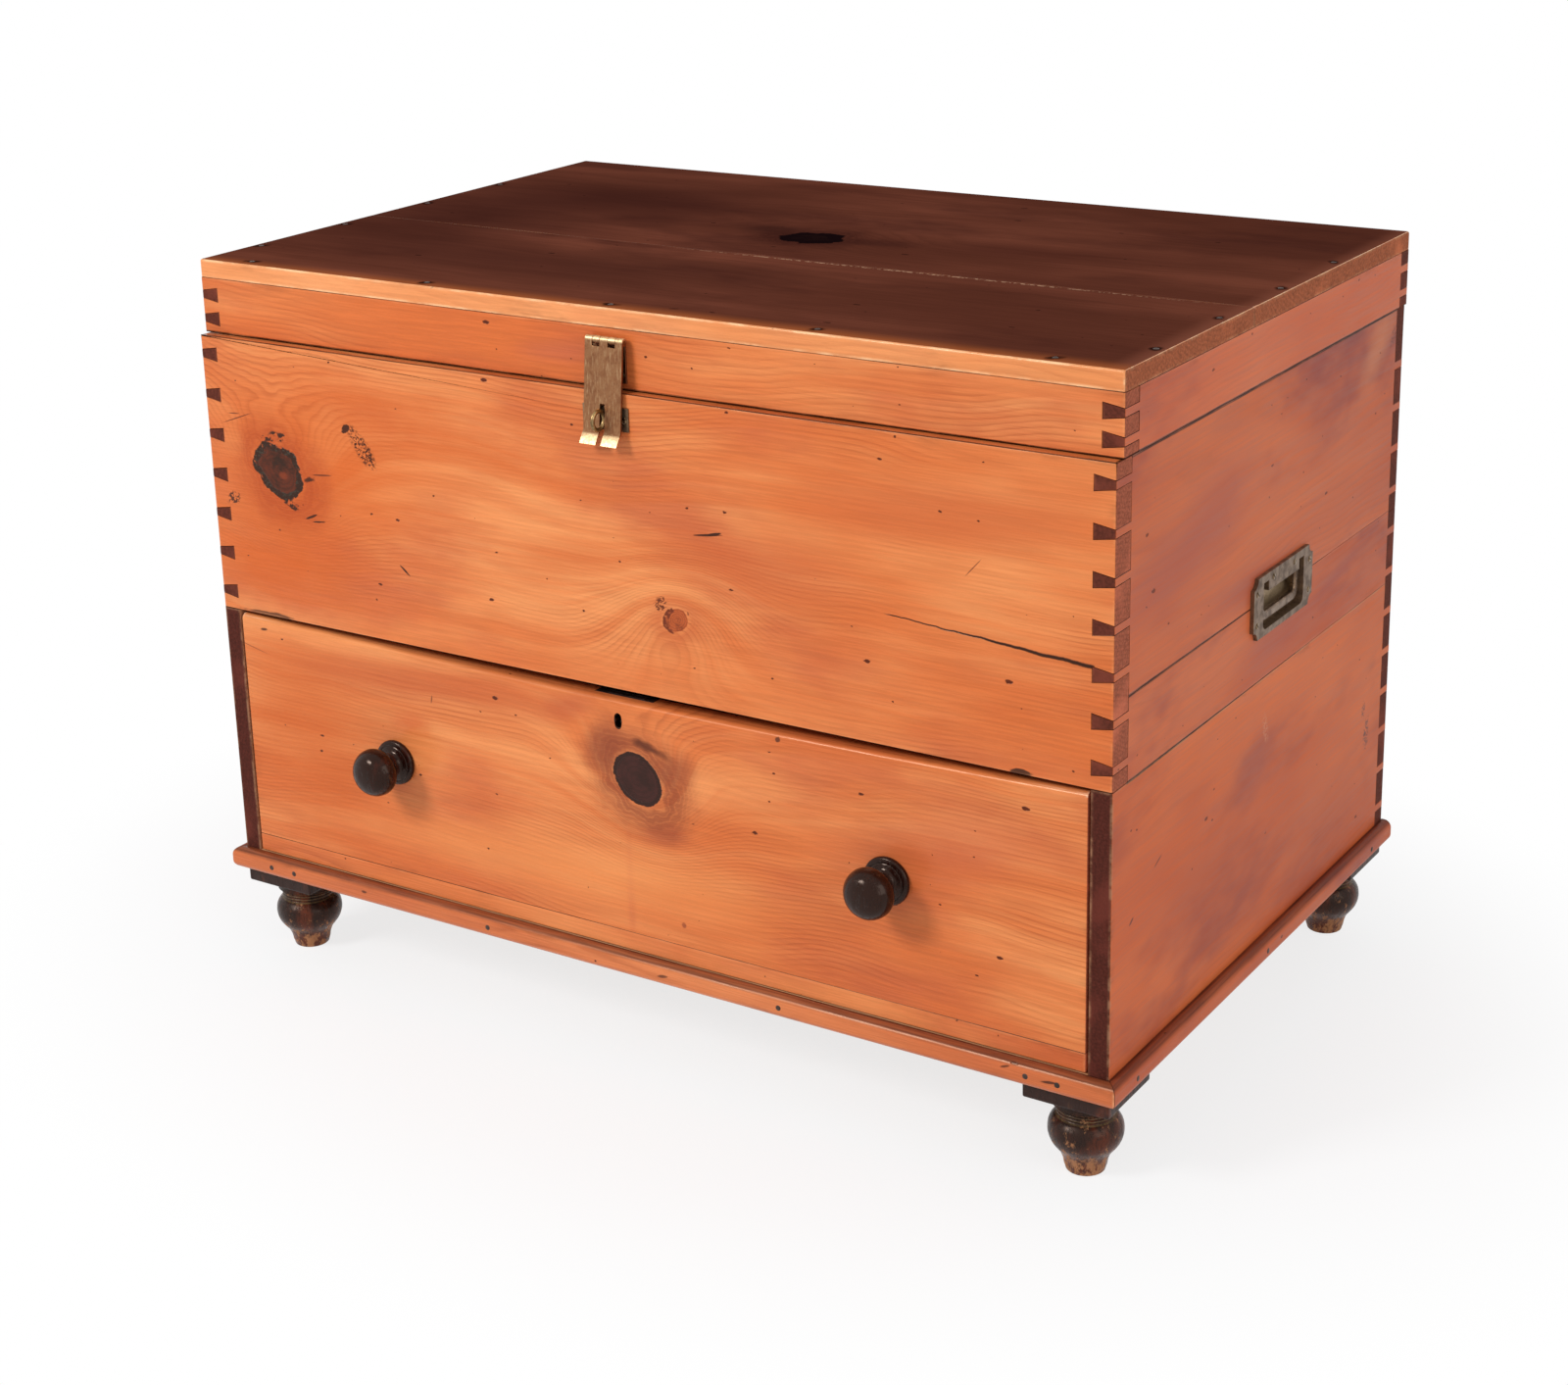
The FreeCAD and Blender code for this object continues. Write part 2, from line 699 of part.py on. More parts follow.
mortise = box("bolt_mortise",
              (dim.lock_x - dim.mortise_width / 2, lock_y - dim.mortise_thick / 2,
               front_board_bottom - 1),
              (dim.lock_x + dim.mortise_width / 2, lock_y + dim.mortise_thick / 2,
               front_board_bottom + dim.mortise_depth))


# ---------------------------------------------------------------- case boards

def case_front():
    """The wide front board: tails at both ends, and the bolt's mortise in its lower edge."""
    board = box("front_board", (-half_width, front, front_board_bottom),
                (half_width, inner_front, case_top))
    tools = [*front_pins["left"], *front_pins["right"], mortise, staple_hole, *holes(staple_screws)]
    sub_part("case_front_board", cut("front_board_cut", board, tools))


def case_side(side, hand):
    """Three edge-jointed boards. The lower one's front edge is the stile beside the drawer."""
    recess = tray_recess(side, hand)
    heights = {"upper": (side_seam, case_top), "middle": (front_board_bottom, side_seam),
               "lower": (case_bottom, front_board_bottom)}
    for level, (low, high) in heights.items():
        start = front if level == "lower" else inner_front
        xs = (inner_x, half_width) if hand > 0 else (-half_width, -inner_x)
        board = box(f"side_{side}_{level}_blank", (xs[0], start, low), (xs[1], inner_rear, high))
        pins = within(back_pins[side], back_pin_heights, low, high)
        if level != "lower":
            pins += within(front_pins[side], front_pin_heights, low, high)
        whole = fuse(f"side_{side}_{level}_pinned", [board, *pins])
        tools = holes(side_mould_nails[side]) if level == "lower" else [recess]
        if level != "lower":
            tools += holes(handle_screws[side])
        sub_part(f"side_{side}_{level}_board", cut(f"side_{side}_{level}", whole, tools))


def case_back():
    """Three tail boards, edge-jointed midway between pins."""
    seams = [case_top]
    for last in (BACK_BOARD_PINS, 2 * BACK_BOARD_PINS):
        seams.append(back_pin_heights[last - 1] - dim.back_pin_pitch / 2)
    seams.append(case_bottom)
    for level, high, low in zip(("upper", "middle", "lower"), seams, seams[1:]):
        board = box(f"back_{level}_blank", (-half_width, inner_rear, low), (half_width, rear, high))
        tools = (within(back_pins["left"], back_pin_heights, low, high)
                 + within(back_pins["right"], back_pin_heights, low, high))
        if level == "upper":
            tools += holes(hinge_case_screws)
        sub_part(f"back_{level}_board", cut(f"back_{level}", board, tools))


def foot_centres():
    """Where the four feet stand."""
    for end, y in (("front", front + foot_inset), ("rear", rear - foot_inset)):
        for side, hand in HANDS.items():
            yield f"{end}_{side}", (half_width - foot_inset) * hand, y


spigot_sockets = [cylinder(f"spigot_socket_{place}", (x, y, case_bottom - dim.block_height - 1), Z,
                           dim.spigot_radius + dim.hole_play,
                           dim.block_height + 1 + dim.spigot_reach + dim.hole_play)
                  for place, x, y in foot_centres()]


def floors():
    """The base board, the chest floor and what carries or stops things on them."""
    base = box("base_blank", (-inner_x, front, case_bottom), (inner_x, inner_rear, base_top))
    sub_part("base_board", cut("base_cut", base, [*spigot_sockets, *holes(front_mould_nails),
                                                  *holes(side_mould_nails["left"]),
                                                  *holes(side_mould_nails["right"])]))
    sub_part("chest_floor", box("chest_floor_board", (-inner_x, inner_front, floor_bottom),
                                (inner_x, inner_rear, floor_bottom + dim.floor_thick)))
    cleats = []
    stops = []
    for side, hand in HANDS.items():
        edges = (inner_x - dim.cleat_width, inner_x) if hand > 0 else (-inner_x,
                                                                       dim.cleat_width - inner_x)
        cleats.append(box(f"cleat_{side}", (edges[0], inner_front, floor_bottom - dim.cleat_height),
                          (edges[1], inner_rear, floor_bottom)))
        middle = (inner_x - dim.stop_length * 2) * hand
        stops.append(box(f"stop_{side}", (middle - dim.stop_length / 2, stop_front, base_top),
                         (middle + dim.stop_length / 2, inner_rear, base_top + dim.stop_height)))
    sub_part("floor_cleats", group("floor_cleat_group", cleats))
    sub_part("drawer_stops", group("drawer_stop_group", stops))


# ---------------------------------------------------------------- moulding and feet

def moulding(name, place, length, near, far, at, turn, nails):
    """A nosed strip with mitred ends, made along X facing -Y."""
    out, nose, tall = dim.mould_out, dim.mould_nose, dim.mould_height
    corners = [(nose - out, 0), (0, 0), (0, tall), (nose - out, tall), (-out, tall - nose), (-out, nose)]
    strip = padded(f"{name}_strip", "YZ_Plane", corners, length, arcs={3: (nose, 1), 5: (nose, 1)})
    if place is not None:
        put(strip, place)
    mitres = taper(f"{name}_mitres", near, far, out, (-1, tall + 1), (0, -out, 0), FreeCAD.Rotation())
    common = DOC.addObject("Part::MultiCommon", f"{name}_mitred")
    common.Shapes = [strip, mitres]
    put(common, at, turn)
    sub_part(name, cut(f"{name}_cut", common, holes(nails)))


def base_mouldings():
    """Three strips round the front and sides, and the nails that hold them."""
    out, long = dim.mould_out, dim.case_depth + dim.mould_out
    moulding("base_moulding_front", (-half_width - out, 0, 0), (half_width + out) * 2,
             (-half_width - out, half_width + out), (-half_width, half_width),
             (0, front, case_bottom), FreeCAD.Rotation(), front_mould_nails)
    moulding("base_moulding_right", None, long, (0, long), (out, long),
             (half_width, front - out, case_bottom), FreeCAD.Rotation(Z, 90),
             side_mould_nails["right"])
    moulding("base_moulding_left", None, long, (0, long), (0, dim.case_depth),
             (-half_width, rear, case_bottom), FreeCAD.Rotation(Z, -90), side_mould_nails["left"])
    nails = solids(front_mould_nails) + solids(side_mould_nails["left"])
    sub_part("moulding_nails", group("moulding_nail_group", nails + solids(side_mould_nails["right"])))


def feet():
    """A square block and a turned foot with a spigot, at each corner."""
    block_bottom = dim.foot_height - dim.block_height
    profile = [(0, 0), (dim.toe_radius, 0), (dim.toe_radius + 1.5, dim.toe_rise),
               (dim.shank_radius, dim.shank_rise), (dim.ring_radius, dim.ring_rise),
               (dim.ring_radius, dim.ring_rise + 3), (dim.collar_radius, dim.collar_rise),
               (dim.collar_radius, block_bottom), (dim.spigot_radius, block_bottom),
               (dim.spigot_radius, dim.foot_height + dim.spigot_reach),
               (0, dim.foot_height + dim.spigot_reach)]
    for (place, x, y), socket in zip(foot_centres(), spigot_sockets):
        block = box(f"foot_block_{place}_blank", (x - foot_inset, y - foot_inset, block_bottom),
                    (x + foot_inset, y + foot_inset, case_bottom))
        sub_part(f"foot_block_{place}", cut(f"foot_block_{place}_cut", block, [socket]))
        foot = turned(f"foot_{place}", profile, arcs={2: (dim.cove_arc, -1), 3: (dim.bulb_arc, 1)})
        sub_part(f"turned_foot_{place}", put(foot, (x, y, 0)))


# ---------------------------------------------------------------- hinges

def leaf(side, hand, rise):
    """A hinge leaf; rise is 1 for the lid's leaf and -1 for the case's. The lid's has the middle knuckle."""
    name = f"hinge_{'upper' if rise > 0 else 'lower'}_leaf_{side}"
    long, middle, play = dim.hinge_length / 2, dim.hinge_middle / 2, dim.part_play
    back, face = -dim.hinge_offset, dim.hinge_leaf_thick - dim.hinge_offset
    clear = dim.hinge_barrel + play

    def slab(label, low_x, high_x, from_z, to_z):
        lower, upper = (from_z, to_z) if rise > 0 else (-to_z, -from_z)
        return box(label, (low_x, back, lower), (high_x, face, upper))

    members = [slab(f"{name}_plate", -long, long, clear, dim.hinge_leaf_height)]
    spans = ([(-middle + play, middle - play)] if rise > 0
             else [(-long, -middle), (middle, long)])
    for number, (low, high) in enumerate(spans, 1):
        low, high = Size.of(low), Size.of(high)
        members.append(slab(f"{name}_web_{number}", low, high, Size.of(0), clear))
        members.append(cylinder(f"{name}_knuckle_{number}", (low, 0, 0), X, dim.hinge_barrel,
                                high - low))
    bore = cylinder(f"{name}_bore", (-long - 1, 0, 0), X, dim.hinge_pin + dim.pin_play,
                    dim.hinge_length + 2)
    placed = put(cut(f"{name}_bored", fuse(f"{name}_blank", members), [bore]),
                 (hinge_x * hand, hinge_y, hinge_z))
    screws = hinge_lid_screws if rise > 0 else hinge_case_screws
    mine = screws[:3] if hand < 0 else screws[3:]
    sub_part(name, cut(f"{name}_drilled", placed, holes(mine)))


def hinges():
    """Two butt hinges on the back, their barrels behind the case."""
    pins = []
    for side, hand in HANDS.items():
        leaf(side, hand, -1)
        leaf(side, hand, 1)
        pins.append(cylinder(f"hinge_pin_{side}",
                             (hinge_x * hand - dim.hinge_length / 2, hinge_y, hinge_z), X,
                             dim.hinge_pin, dim.hinge_length))
    sub_part("hinge_pins", group("hinge_pin_group", pins))


# ---------------------------------------------------------------- hasp and staple

def staple():
    """The plate on the case front and the eye that stands out of it."""
    half_plate, tall = dim.staple_plate_width / 2, dim.staple_plate_height / 2
    plate = box("staple_plate_blank", (dim.hasp_x - half_plate, plate_face, staple_z - tall),
                (dim.hasp_x + half_plate, front, staple_z + tall))
    sub_part("staple_plate", cut("staple_plate_cut", plate, [staple_hole, *holes(staple_screws)]))
    ring = DOC.addObject("Part::Torus", "staple_ring")
    bind(ring, "Radius1", dim.staple_ring)
    bind(ring, "Radius2", dim.staple_wire)
    root_y = plate_face - dim.part_play - dim.staple_wire
    put(ring, (dim.hasp_x, root_y - dim.staple_ring, staple_z), FreeCAD.Rotation(Z, X))
    shank = cylinder("staple_shank", (dim.hasp_x, root_y, staple_z), Y, dim.staple_root,
                     plate_face + dim.staple_shank - root_y)
    sub_part("staple", fuse("staple_whole", [ring, shank]))


def hasp():
    """The leaf on the lid, its pin, and the strap with an open slot that drops over the staple."""
    wide, barrel, thick = dim.hasp_width / 2, dim.hasp_barrel, dim.hasp_thick
    face = barrel + dim.part_play
    rear_face = face + dim.hasp_leaf_thick
    members = [box("hasp_leaf_plate", (-dim.hasp_leaf_width / 2, face, -dim.hasp_leaf_height),
                   (dim.hasp_leaf_width / 2, rear_face, 0))]
    windows = []
    for number, way in enumerate((-1, 1), 1):
        left = dim.hasp_knuckle_x * way - dim.hasp_knuckle / 2
        members.append(box(f"hasp_leaf_web_{number}", (left, barrel * 0.5, -barrel),
                           (left + dim.hasp_knuckle, face, 0)))
        members.append(cylinder(f"hasp_leaf_knuckle_{number}", (left, 0, 0), X, barrel,
                                dim.hasp_knuckle))
        windows.append(box(f"hasp_window_{number}", (left - dim.part_play, -barrel * 2, -barrel * 1.6),
                           (left + dim.hasp_knuckle + dim.part_play, barrel * 2, barrel * 2)))
    bore = cylinder("hasp_bore", (-wide - 1, 0, 0), X, dim.hasp_pin + dim.pin_play, dim.hasp_width + 2)
    place = (dim.hasp_x, hasp_y, hasp_z)
    blank = put(cut("hasp_leaf_bored", fuse("hasp_leaf_blank", members), [bore]), place)
    sub_part("hasp_leaf", cut("hasp_leaf_drilled", blank, holes(hasp_screws)))
    sub_part("hasp_pin", cylinder("hasp_pin_rod", (dim.hasp_x - wide, hasp_y, hasp_z), X,
                                  dim.hasp_pin, dim.hasp_width))
    knee, tip = -dim.hasp_length, -dim.hasp_length - dim.hasp_lip_drop
    side_view = [(-barrel, 0), (-barrel, knee), (-barrel - dim.hasp_lip_out, tip),
                 (thick - barrel - dim.hasp_lip_out, tip), (thick - barrel, knee), (thick - barrel, 0)]
    plate = padded("hasp_strap_plate", "YZ_Plane", side_view, dim.hasp_width, midplane=True)
    roll = cylinder("hasp_strap_roll", (-wide, 0, 0), X, barrel, dim.hasp_width)
    slot = box("hasp_slot", (-dim.hasp_slot / 2, -barrel - dim.hasp_lip_out - 1, tip - 1),
               (dim.hasp_slot / 2, 0, -dim.hasp_slot_top))
    strap = put(cut("hasp_strap_cut", fuse("hasp_strap_blank", [plate, roll]), [bore, slot, *windows]),
                place, FreeCAD.Rotation(X, -1))
    bind(strap, "Placement.Rotation.Angle", -dim.hasp_hang)
    sub_part("hasp_strap", strap)


# ---------------------------------------------------------------- lid

def lid():
    """Two top boards nailed on a dovetailed rim."""
    seam = lid_front + dim.lid_front_board
    hasp_holes, hinge_holes, nail_holes = holes(hasp_screws), holes(hinge_lid_screws), holes(lid_nails)
    for level, low, high in (("front", lid_front, seam), ("rear", seam, rear)):
        board = box(f"lid_{level}_blank", (-lid_half, low, rim_top), (lid_half, high, lid_top))
        sub_part(f"lid_{level}_board", cut(f"lid_{level}_cut", board, nail_holes))
    tails = [*rim_pins["left"], *rim_pins["right"]]
    rim_front_y = lid_front + dim.rim_front_thick
    rim_back_y = rear - dim.rim_back_thick
    rail = box("rim_front_blank", (-lid_half, lid_front, lid_bottom), (lid_half, rim_front_y, rim_top))
    sub_part("lid_rim_front", cut("rim_front_cut", rail, [*tails, *nail_holes, *hasp_holes]))
    rail = box("rim_back_blank", (-lid_half, rim_back_y, lid_bottom), (lid_half, rear, rim_top))
    sub_part("lid_rim_back", cut("rim_back_cut", rail, [*tails, *hinge_holes]))
    for side, hand in HANDS.items():
        xs = (rim_inner_x, lid_half) if hand > 0 else (-lid_half, -rim_inner_x)
        rail = box(f"rim_{side}_blank", (xs[0], rim_front_y, lid_bottom), (xs[1], rim_back_y, rim_top))
        whole = fuse(f"rim_{side}_pinned", [rail, *rim_pins[side]])
        sub_part(f"lid_rim_{side}", cut(f"rim_{side}_cut", whole, nail_holes))
    sub_part("lid_nails", group("lid_nail_group", solids(lid_nails)))
    sub_part("lid_screws", group("lid_screw_group", solids(hinge_lid_screws) + solids(hasp_screws)))


# ---------------------------------------------------------------- drawer

def keyhole(name, start_y, depth):
    """Two round lobes joined, cut through along Y."""
    top_z = drawer_dip_z - dim.key_drop
    low_z = top_z - dim.key_spread
    waist = dim.key_lobe * 0.7
    return [cylinder(f"{name}_top", (dim.lock_x, start_y, top_z), Y, dim.key_lobe, depth),
            cylinder(f"{name}_low", (dim.lock_x, start_y, low_z), Y, dim.key_lobe, depth),
            box(f"{name}_waist", (dim.lock_x - waist, start_y, low_z),
                (dim.lock_x + waist, start_y + depth, top_z))]


knob_z = base_top + dim.knob_rise
knob_sockets = [cylinder(f"knob_socket_{side}", (knob_x * hand, front - 1, knob_z), Y,
                         dim.knob_spigot + dim.hole_play, dim.knob_spigot_length + 1 + dim.hole_play)
                for side, hand in HANDS.items()]
lock_top = drawer_dip_z
lock_low = lock_top - dim.lock_height
lock_front = drawer_back_y - dim.lock_depth
lock_half = dim.lock_width / 2
lock_screws = fastenings("lock_screw", [(dim.lock_x + (lock_half - dim.screw_head * 1.5) * way,
                                         drawer_back_y, lock_low + dim.screw_head * 2)
                                        for way in (-1, 1)], Y, "screw")


def drawer_front():
    """The wide front with its hollowed upper edge, the strip jointed under it, and the lock's recess."""
    half, tall, dip = drawer_half, drawer_front_height, dim.drawer_front_dip
    seam = dim.strip_height
    bow = (half * half + dip * dip) / (dip * 2)
    corners = [(-half, seam), (half, seam), (half, tall), (-half, tall)]
    board = padded("drawer_front_blank", "XZ_Plane", corners, dim.drawer_front_thick,
                   arcs={2: (bow, -1)})
    put(board, (0, drawer_back_y, drawer_bottom))
    recess = box("lock_recess", (dim.lock_x - lock_half, lock_front, lock_low),
                 (dim.lock_x + lock_half, drawer_back_y + 1, lock_top + 1))
    tools = [recess, *knob_sockets, *keyhole("front_key", front - 1, dim.drawer_front_thick),
             *holes(lock_screws)]
    sub_part("drawer_front", cut("drawer_front_cut", board, tools))
    strip = box("drawer_strip_blank", (-half, front, drawer_bottom),
                (half, drawer_back_y, drawer_bottom + seam))
    sub_part("drawer_front_strip", cut("drawer_strip_cut", strip, [drawer_panel()]))


def drawer_panel():
    """The bottom panel's block, let into the sides and the strip."""
    return box("drawer_panel",
               (dim.drawer_side_thick - drawer_half - dim.groove_depth,
                drawer_back_y - dim.groove_depth, drawer_bottom + dim.drawer_bottom_rise),
               (drawer_half - dim.drawer_side_thick + dim.groove_depth, drawer_rear,
                drawer_bottom + dim.drawer_bottom_rise + dim.drawer_bottom_thick))


def drawer_box():
    """Two grooved sides, the back above the panel, and the panel."""
    low = base_top + dim.drawer_rest
    panel_top = drawer_bottom + dim.drawer_bottom_rise + dim.drawer_bottom_thick
    inner = drawer_half - dim.drawer_side_thick
    panel = drawer_panel()
    for side, hand in HANDS.items():
        xs = (inner, drawer_half) if hand > 0 else (-drawer_half, -inner)
        board = box(f"drawer_side_{side}_blank", (xs[0], drawer_back_y, low),
                    (xs[1], drawer_rear, drawer_side_top))
        sub_part(f"drawer_side_{side}", cut(f"drawer_side_{side}_cut", board, [panel]))
    sub_part("drawer_back", box("drawer_back_blank",
                                (-inner, drawer_rear - dim.drawer_side_thick, panel_top),
                                (inner, drawer_rear, drawer_side_top)))
    sub_part("drawer_bottom", panel)


def knobs():
    """Two turned knobs, each with a plate, a neck, a broad head and a spigot."""
    widest = dim.knob_widest
    profile = [(0, -dim.knob_spigot_length), (dim.knob_spigot, -dim.knob_spigot_length),
               (dim.knob_spigot, 0), (dim.knob_plate_radius, 0), (dim.knob_plate_radius, dim.knob_plate),
               (dim.knob_neck, dim.knob_neck_out), (dim.knob_radius, widest),
               (dim.knob_cap, dim.knob_out), (0, dim.knob_out)]
    for side, hand in HANDS.items():
        knob = turned(f"knob_{side}_turned", profile,
                      arcs={4: (dim.knob_back_arc, -1), 5: (dim.knob_back_arc, 1),
                            6: (dim.knob_face_arc, 1)})
        sub_part(f"knob_{side}", put(knob, (knob_x * hand, front, knob_z), FreeCAD.Rotation(Z, -Y)))


def lock():
    """A half-mortise lock: an open-topped case with a keyhole, and the bolt that rises out of it."""
    play, wall = dim.bolt_play, dim.lock_wall
    low, high = dim.lock_x - lock_half, dim.lock_x + lock_half
    shell = box("lock_shell", (low, lock_front, lock_low), (high, drawer_back_y, lock_top))
    bolt_half, bolt_deep = dim.bolt_width / 2, dim.bolt_thick / 2
    well = box("lock_well", (dim.lock_x - bolt_half - play, lock_y - bolt_deep - play,
                             lock_top - dim.bolt_height - play),
               (dim.lock_x + bolt_half + play, lock_y + bolt_deep + play, lock_top + 1))
    room = box("lock_room", (dim.lock_x - bolt_half - play, lock_y - bolt_deep - play,
                             lock_low + wall),
               (dim.lock_x + bolt_half + play, lock_y + bolt_deep + play, lock_top - dim.bolt_height))
    tools = [well, room, *keyhole("case_key", lock_front - 1, dim.lock_depth / 2),
             *holes(lock_screws)]
    sub_part("lock_case", cut("lock_case_cut", shell, tools))
    sub_part("lock_screws", group("lock_screw_group", solids(lock_screws)))
    sub_part("lock_bolt", box("lock_bolt_bar",
                              (dim.lock_x - bolt_half, lock_y - bolt_deep,
                               lock_top - dim.bolt_height),
                              (dim.lock_x + bolt_half, lock_y + bolt_deep, lock_top)))


# ---------------------------------------------------------------- the whole chest

case_front()
for side, hand in HANDS.items():
    case_side(side, hand)
case_back()
floors()
base_mouldings()
feet()
hinges()
staple()
for side, hand in HANDS.items():
    handle_tray(side, hand)
    handle_bail(side, hand)
sub_part("carcase_screws", group("carcase_screw_group",
                                 solids(hinge_case_screws) + solids(staple_screws)
                                 + solids(handle_screws["left"]) + solids(handle_screws["right"])))
hasp()
lid()
drawer_front()
drawer_box()
knobs()
lock()

DOC.recompute()

failed = [thing.Label for thing in DOC.Objects
          if {"Invalid", "Error"} & set(thing.State)]
failed += [thing.Label for thing in SUB_PARTS if thing.Shape.isNull() or not thing.Shape.isValid()]
if failed:
    raise RuntimeError(f"not built: {failed}")

os.makedirs("parts", exist_ok=True)
for thing in SUB_PARTS:
    thing.Shape.exportStep(f"parts/{thing.Label}.step")
print(len(SUB_PARTS), "sub-parts,", sum(len(thing.Shape.Solids) for thing in SUB_PARTS), "solids")
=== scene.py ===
"""Mule chest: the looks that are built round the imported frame.

Boards keep the joints of the frame and get planed arrises, eased joint edges and a grain that
belongs to each board. Turned work, screw heads and nail heads are made anew. Lengths in the
dataclasses are millimetres, angles are degrees and colours are 0-255 display values.
"""

from __future__ import annotations

import logging
import math
from dataclasses import dataclass, field, replace
from enum import Enum
from typing import Sequence, Union

import bmesh
import bpy
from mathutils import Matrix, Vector


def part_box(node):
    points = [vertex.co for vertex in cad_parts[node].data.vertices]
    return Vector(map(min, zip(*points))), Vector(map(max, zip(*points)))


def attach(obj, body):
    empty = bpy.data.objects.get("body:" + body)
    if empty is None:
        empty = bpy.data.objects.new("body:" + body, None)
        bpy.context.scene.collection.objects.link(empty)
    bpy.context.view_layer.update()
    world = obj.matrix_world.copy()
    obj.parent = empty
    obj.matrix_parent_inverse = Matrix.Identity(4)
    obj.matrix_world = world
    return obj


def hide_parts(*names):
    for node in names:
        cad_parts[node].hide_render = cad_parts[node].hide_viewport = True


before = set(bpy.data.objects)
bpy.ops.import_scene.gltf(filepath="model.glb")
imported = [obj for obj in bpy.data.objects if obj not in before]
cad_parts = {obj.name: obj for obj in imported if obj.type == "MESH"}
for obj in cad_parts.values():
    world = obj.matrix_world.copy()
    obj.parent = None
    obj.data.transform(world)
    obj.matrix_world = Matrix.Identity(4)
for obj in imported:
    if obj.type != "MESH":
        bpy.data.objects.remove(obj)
bpy.context.view_layer.update()
LOG = logging.getLogger("mule_chest")
MM = 0.001
TINY = 1e-6
HARD_ANGLE = 32.0
SOFT_ANGLE = 40.0
ARRIS_TURN = 0.8
JOINT_TURN = 0.7
CAST_TURN = 0.9
JOINT_EASE = 0.4
WIDE_ARRIS = 1.5
FACE_ON = 0.95
END_ON = 0.7

Colour = tuple[float, float, float]
Profile = tuple[tuple[float, float], ...]
Value = Union["Wire", bpy.types.NodeSocket, float, Sequence[float]]
Key = Union[int, str]

CRACK = (44, 14, 5)
SEAM = (58, 18, 6)
WARM_GLOSS = (255, 214, 184)
DARK_GLOSS = (255, 226, 208)


class Axis(Enum):
    """A direction of the chest: across its front, from front to back, or up."""

    ACROSS = 0
    DEEP = 1
    UP = 2


class Slot(Enum):
    """The record's material slots."""

    WOOD = "camphor_wood"
    INNER = "inner_wood"
    EBONISED = "ebonised_wood"
    BRASS = "aged_brass"
    IRON = "iron"


class Grain(Enum):
    """How fine a pattern is along the grain, across it and into the board, in repeats per metre."""

    BROAD = (2.2, 5.5, 5.5)
    BEND = (2.3, 4.0, 4.0)
    CLOUD = (3.4, 7.5, 7.0)
    FADE = (4.0, 13.0, 13.0)
    WAVE = (6, 22, 22)
    BREAK = (9, 30, 30)
    SHAKE = (11.0, 36.0, 36.0)
    SOOT = (12, 40, 40)
    STREAK = (14.0, 420.0, 420.0)
    RUB = (22, 60, 60)
    CRACK = (30, 3, 0)
    HEART = (60, 60, 30)
    PORE = (60.0, 900.0, 900.0)


def display(colour: Colour) -> tuple[float, float, float, float]:
    """Turns a display colour into the light values that a shader takes.

    Args:
        colour: Red, green and blue from 0 to 255.

    Returns:
        Linear red, green, blue and full alpha.
    """
    linear = [c / 255 / 12.92 if c <= 10.3 else ((c / 255 + 0.055) / 1.055) ** 2.4 for c in colour]
    return linear[0], linear[1], linear[2], 1.0


class Wire:
    """A value in a shader graph, on which plain arithmetic adds Math nodes."""

    def __init__(self, graph: Graph, socket: bpy.types.NodeSocket) -> None:
        """Keeps the socket and its graph."""
        self.graph, self.socket = graph, socket

    def __add__(self, other: Value) -> Wire:
        """Returns the sum."""
        return self.graph.math("ADD", self, other)

    def __sub__(self, other: Value) -> Wire:
        """Returns the difference."""
        return self.graph.math("SUBTRACT", self, other)

    def __rsub__(self, other: Value) -> Wire:
        """Returns what is left of the other value."""
        return self.graph.math("SUBTRACT", other, self)

    def __mul__(self, other: Value) -> Wire:
        """Returns the product."""
        return self.graph.math("MULTIPLY", self, other)

    def __truediv__(self, other: Value) -> Wire:
        """Returns the quotient."""
        return self.graph.math("DIVIDE", self, other)

    def __abs__(self) -> Wire:
        """Returns the value without its sign."""
        return self.graph.math("ABSOLUTE", self)


class Tree:
    """A node tree, where each node is added together with its inputs."""

    def __init__(self, tree: bpy.types.NodeTree, prefix: str = "") -> None:
        """Keeps the tree, and what the types of its nodes start with."""
        self.tree, self.prefix = tree, prefix

    def node(self, kind: str, inputs: dict[Key, Value], **settings: object) -> bpy.types.Node:
        """Adds a node.

        Args:
            kind: The node type without the tree's prefix.
            inputs: Values, wires or sockets for its inputs, by index or name.
            **settings: Properties of the node.

        Returns:
            The new node.
        """
        made = self.tree.nodes.new(self.prefix + kind)
        for name, value in settings.items():
            setattr(made, name, value)
        for key, value in inputs.items():
            value = value.socket if isinstance(value, Wire) else value
            if isinstance(value, bpy.types.NodeSocket):
                self.tree.links.new(value, made.inputs[key])
            else:
                made.inputs[key].default_value = value
        return made


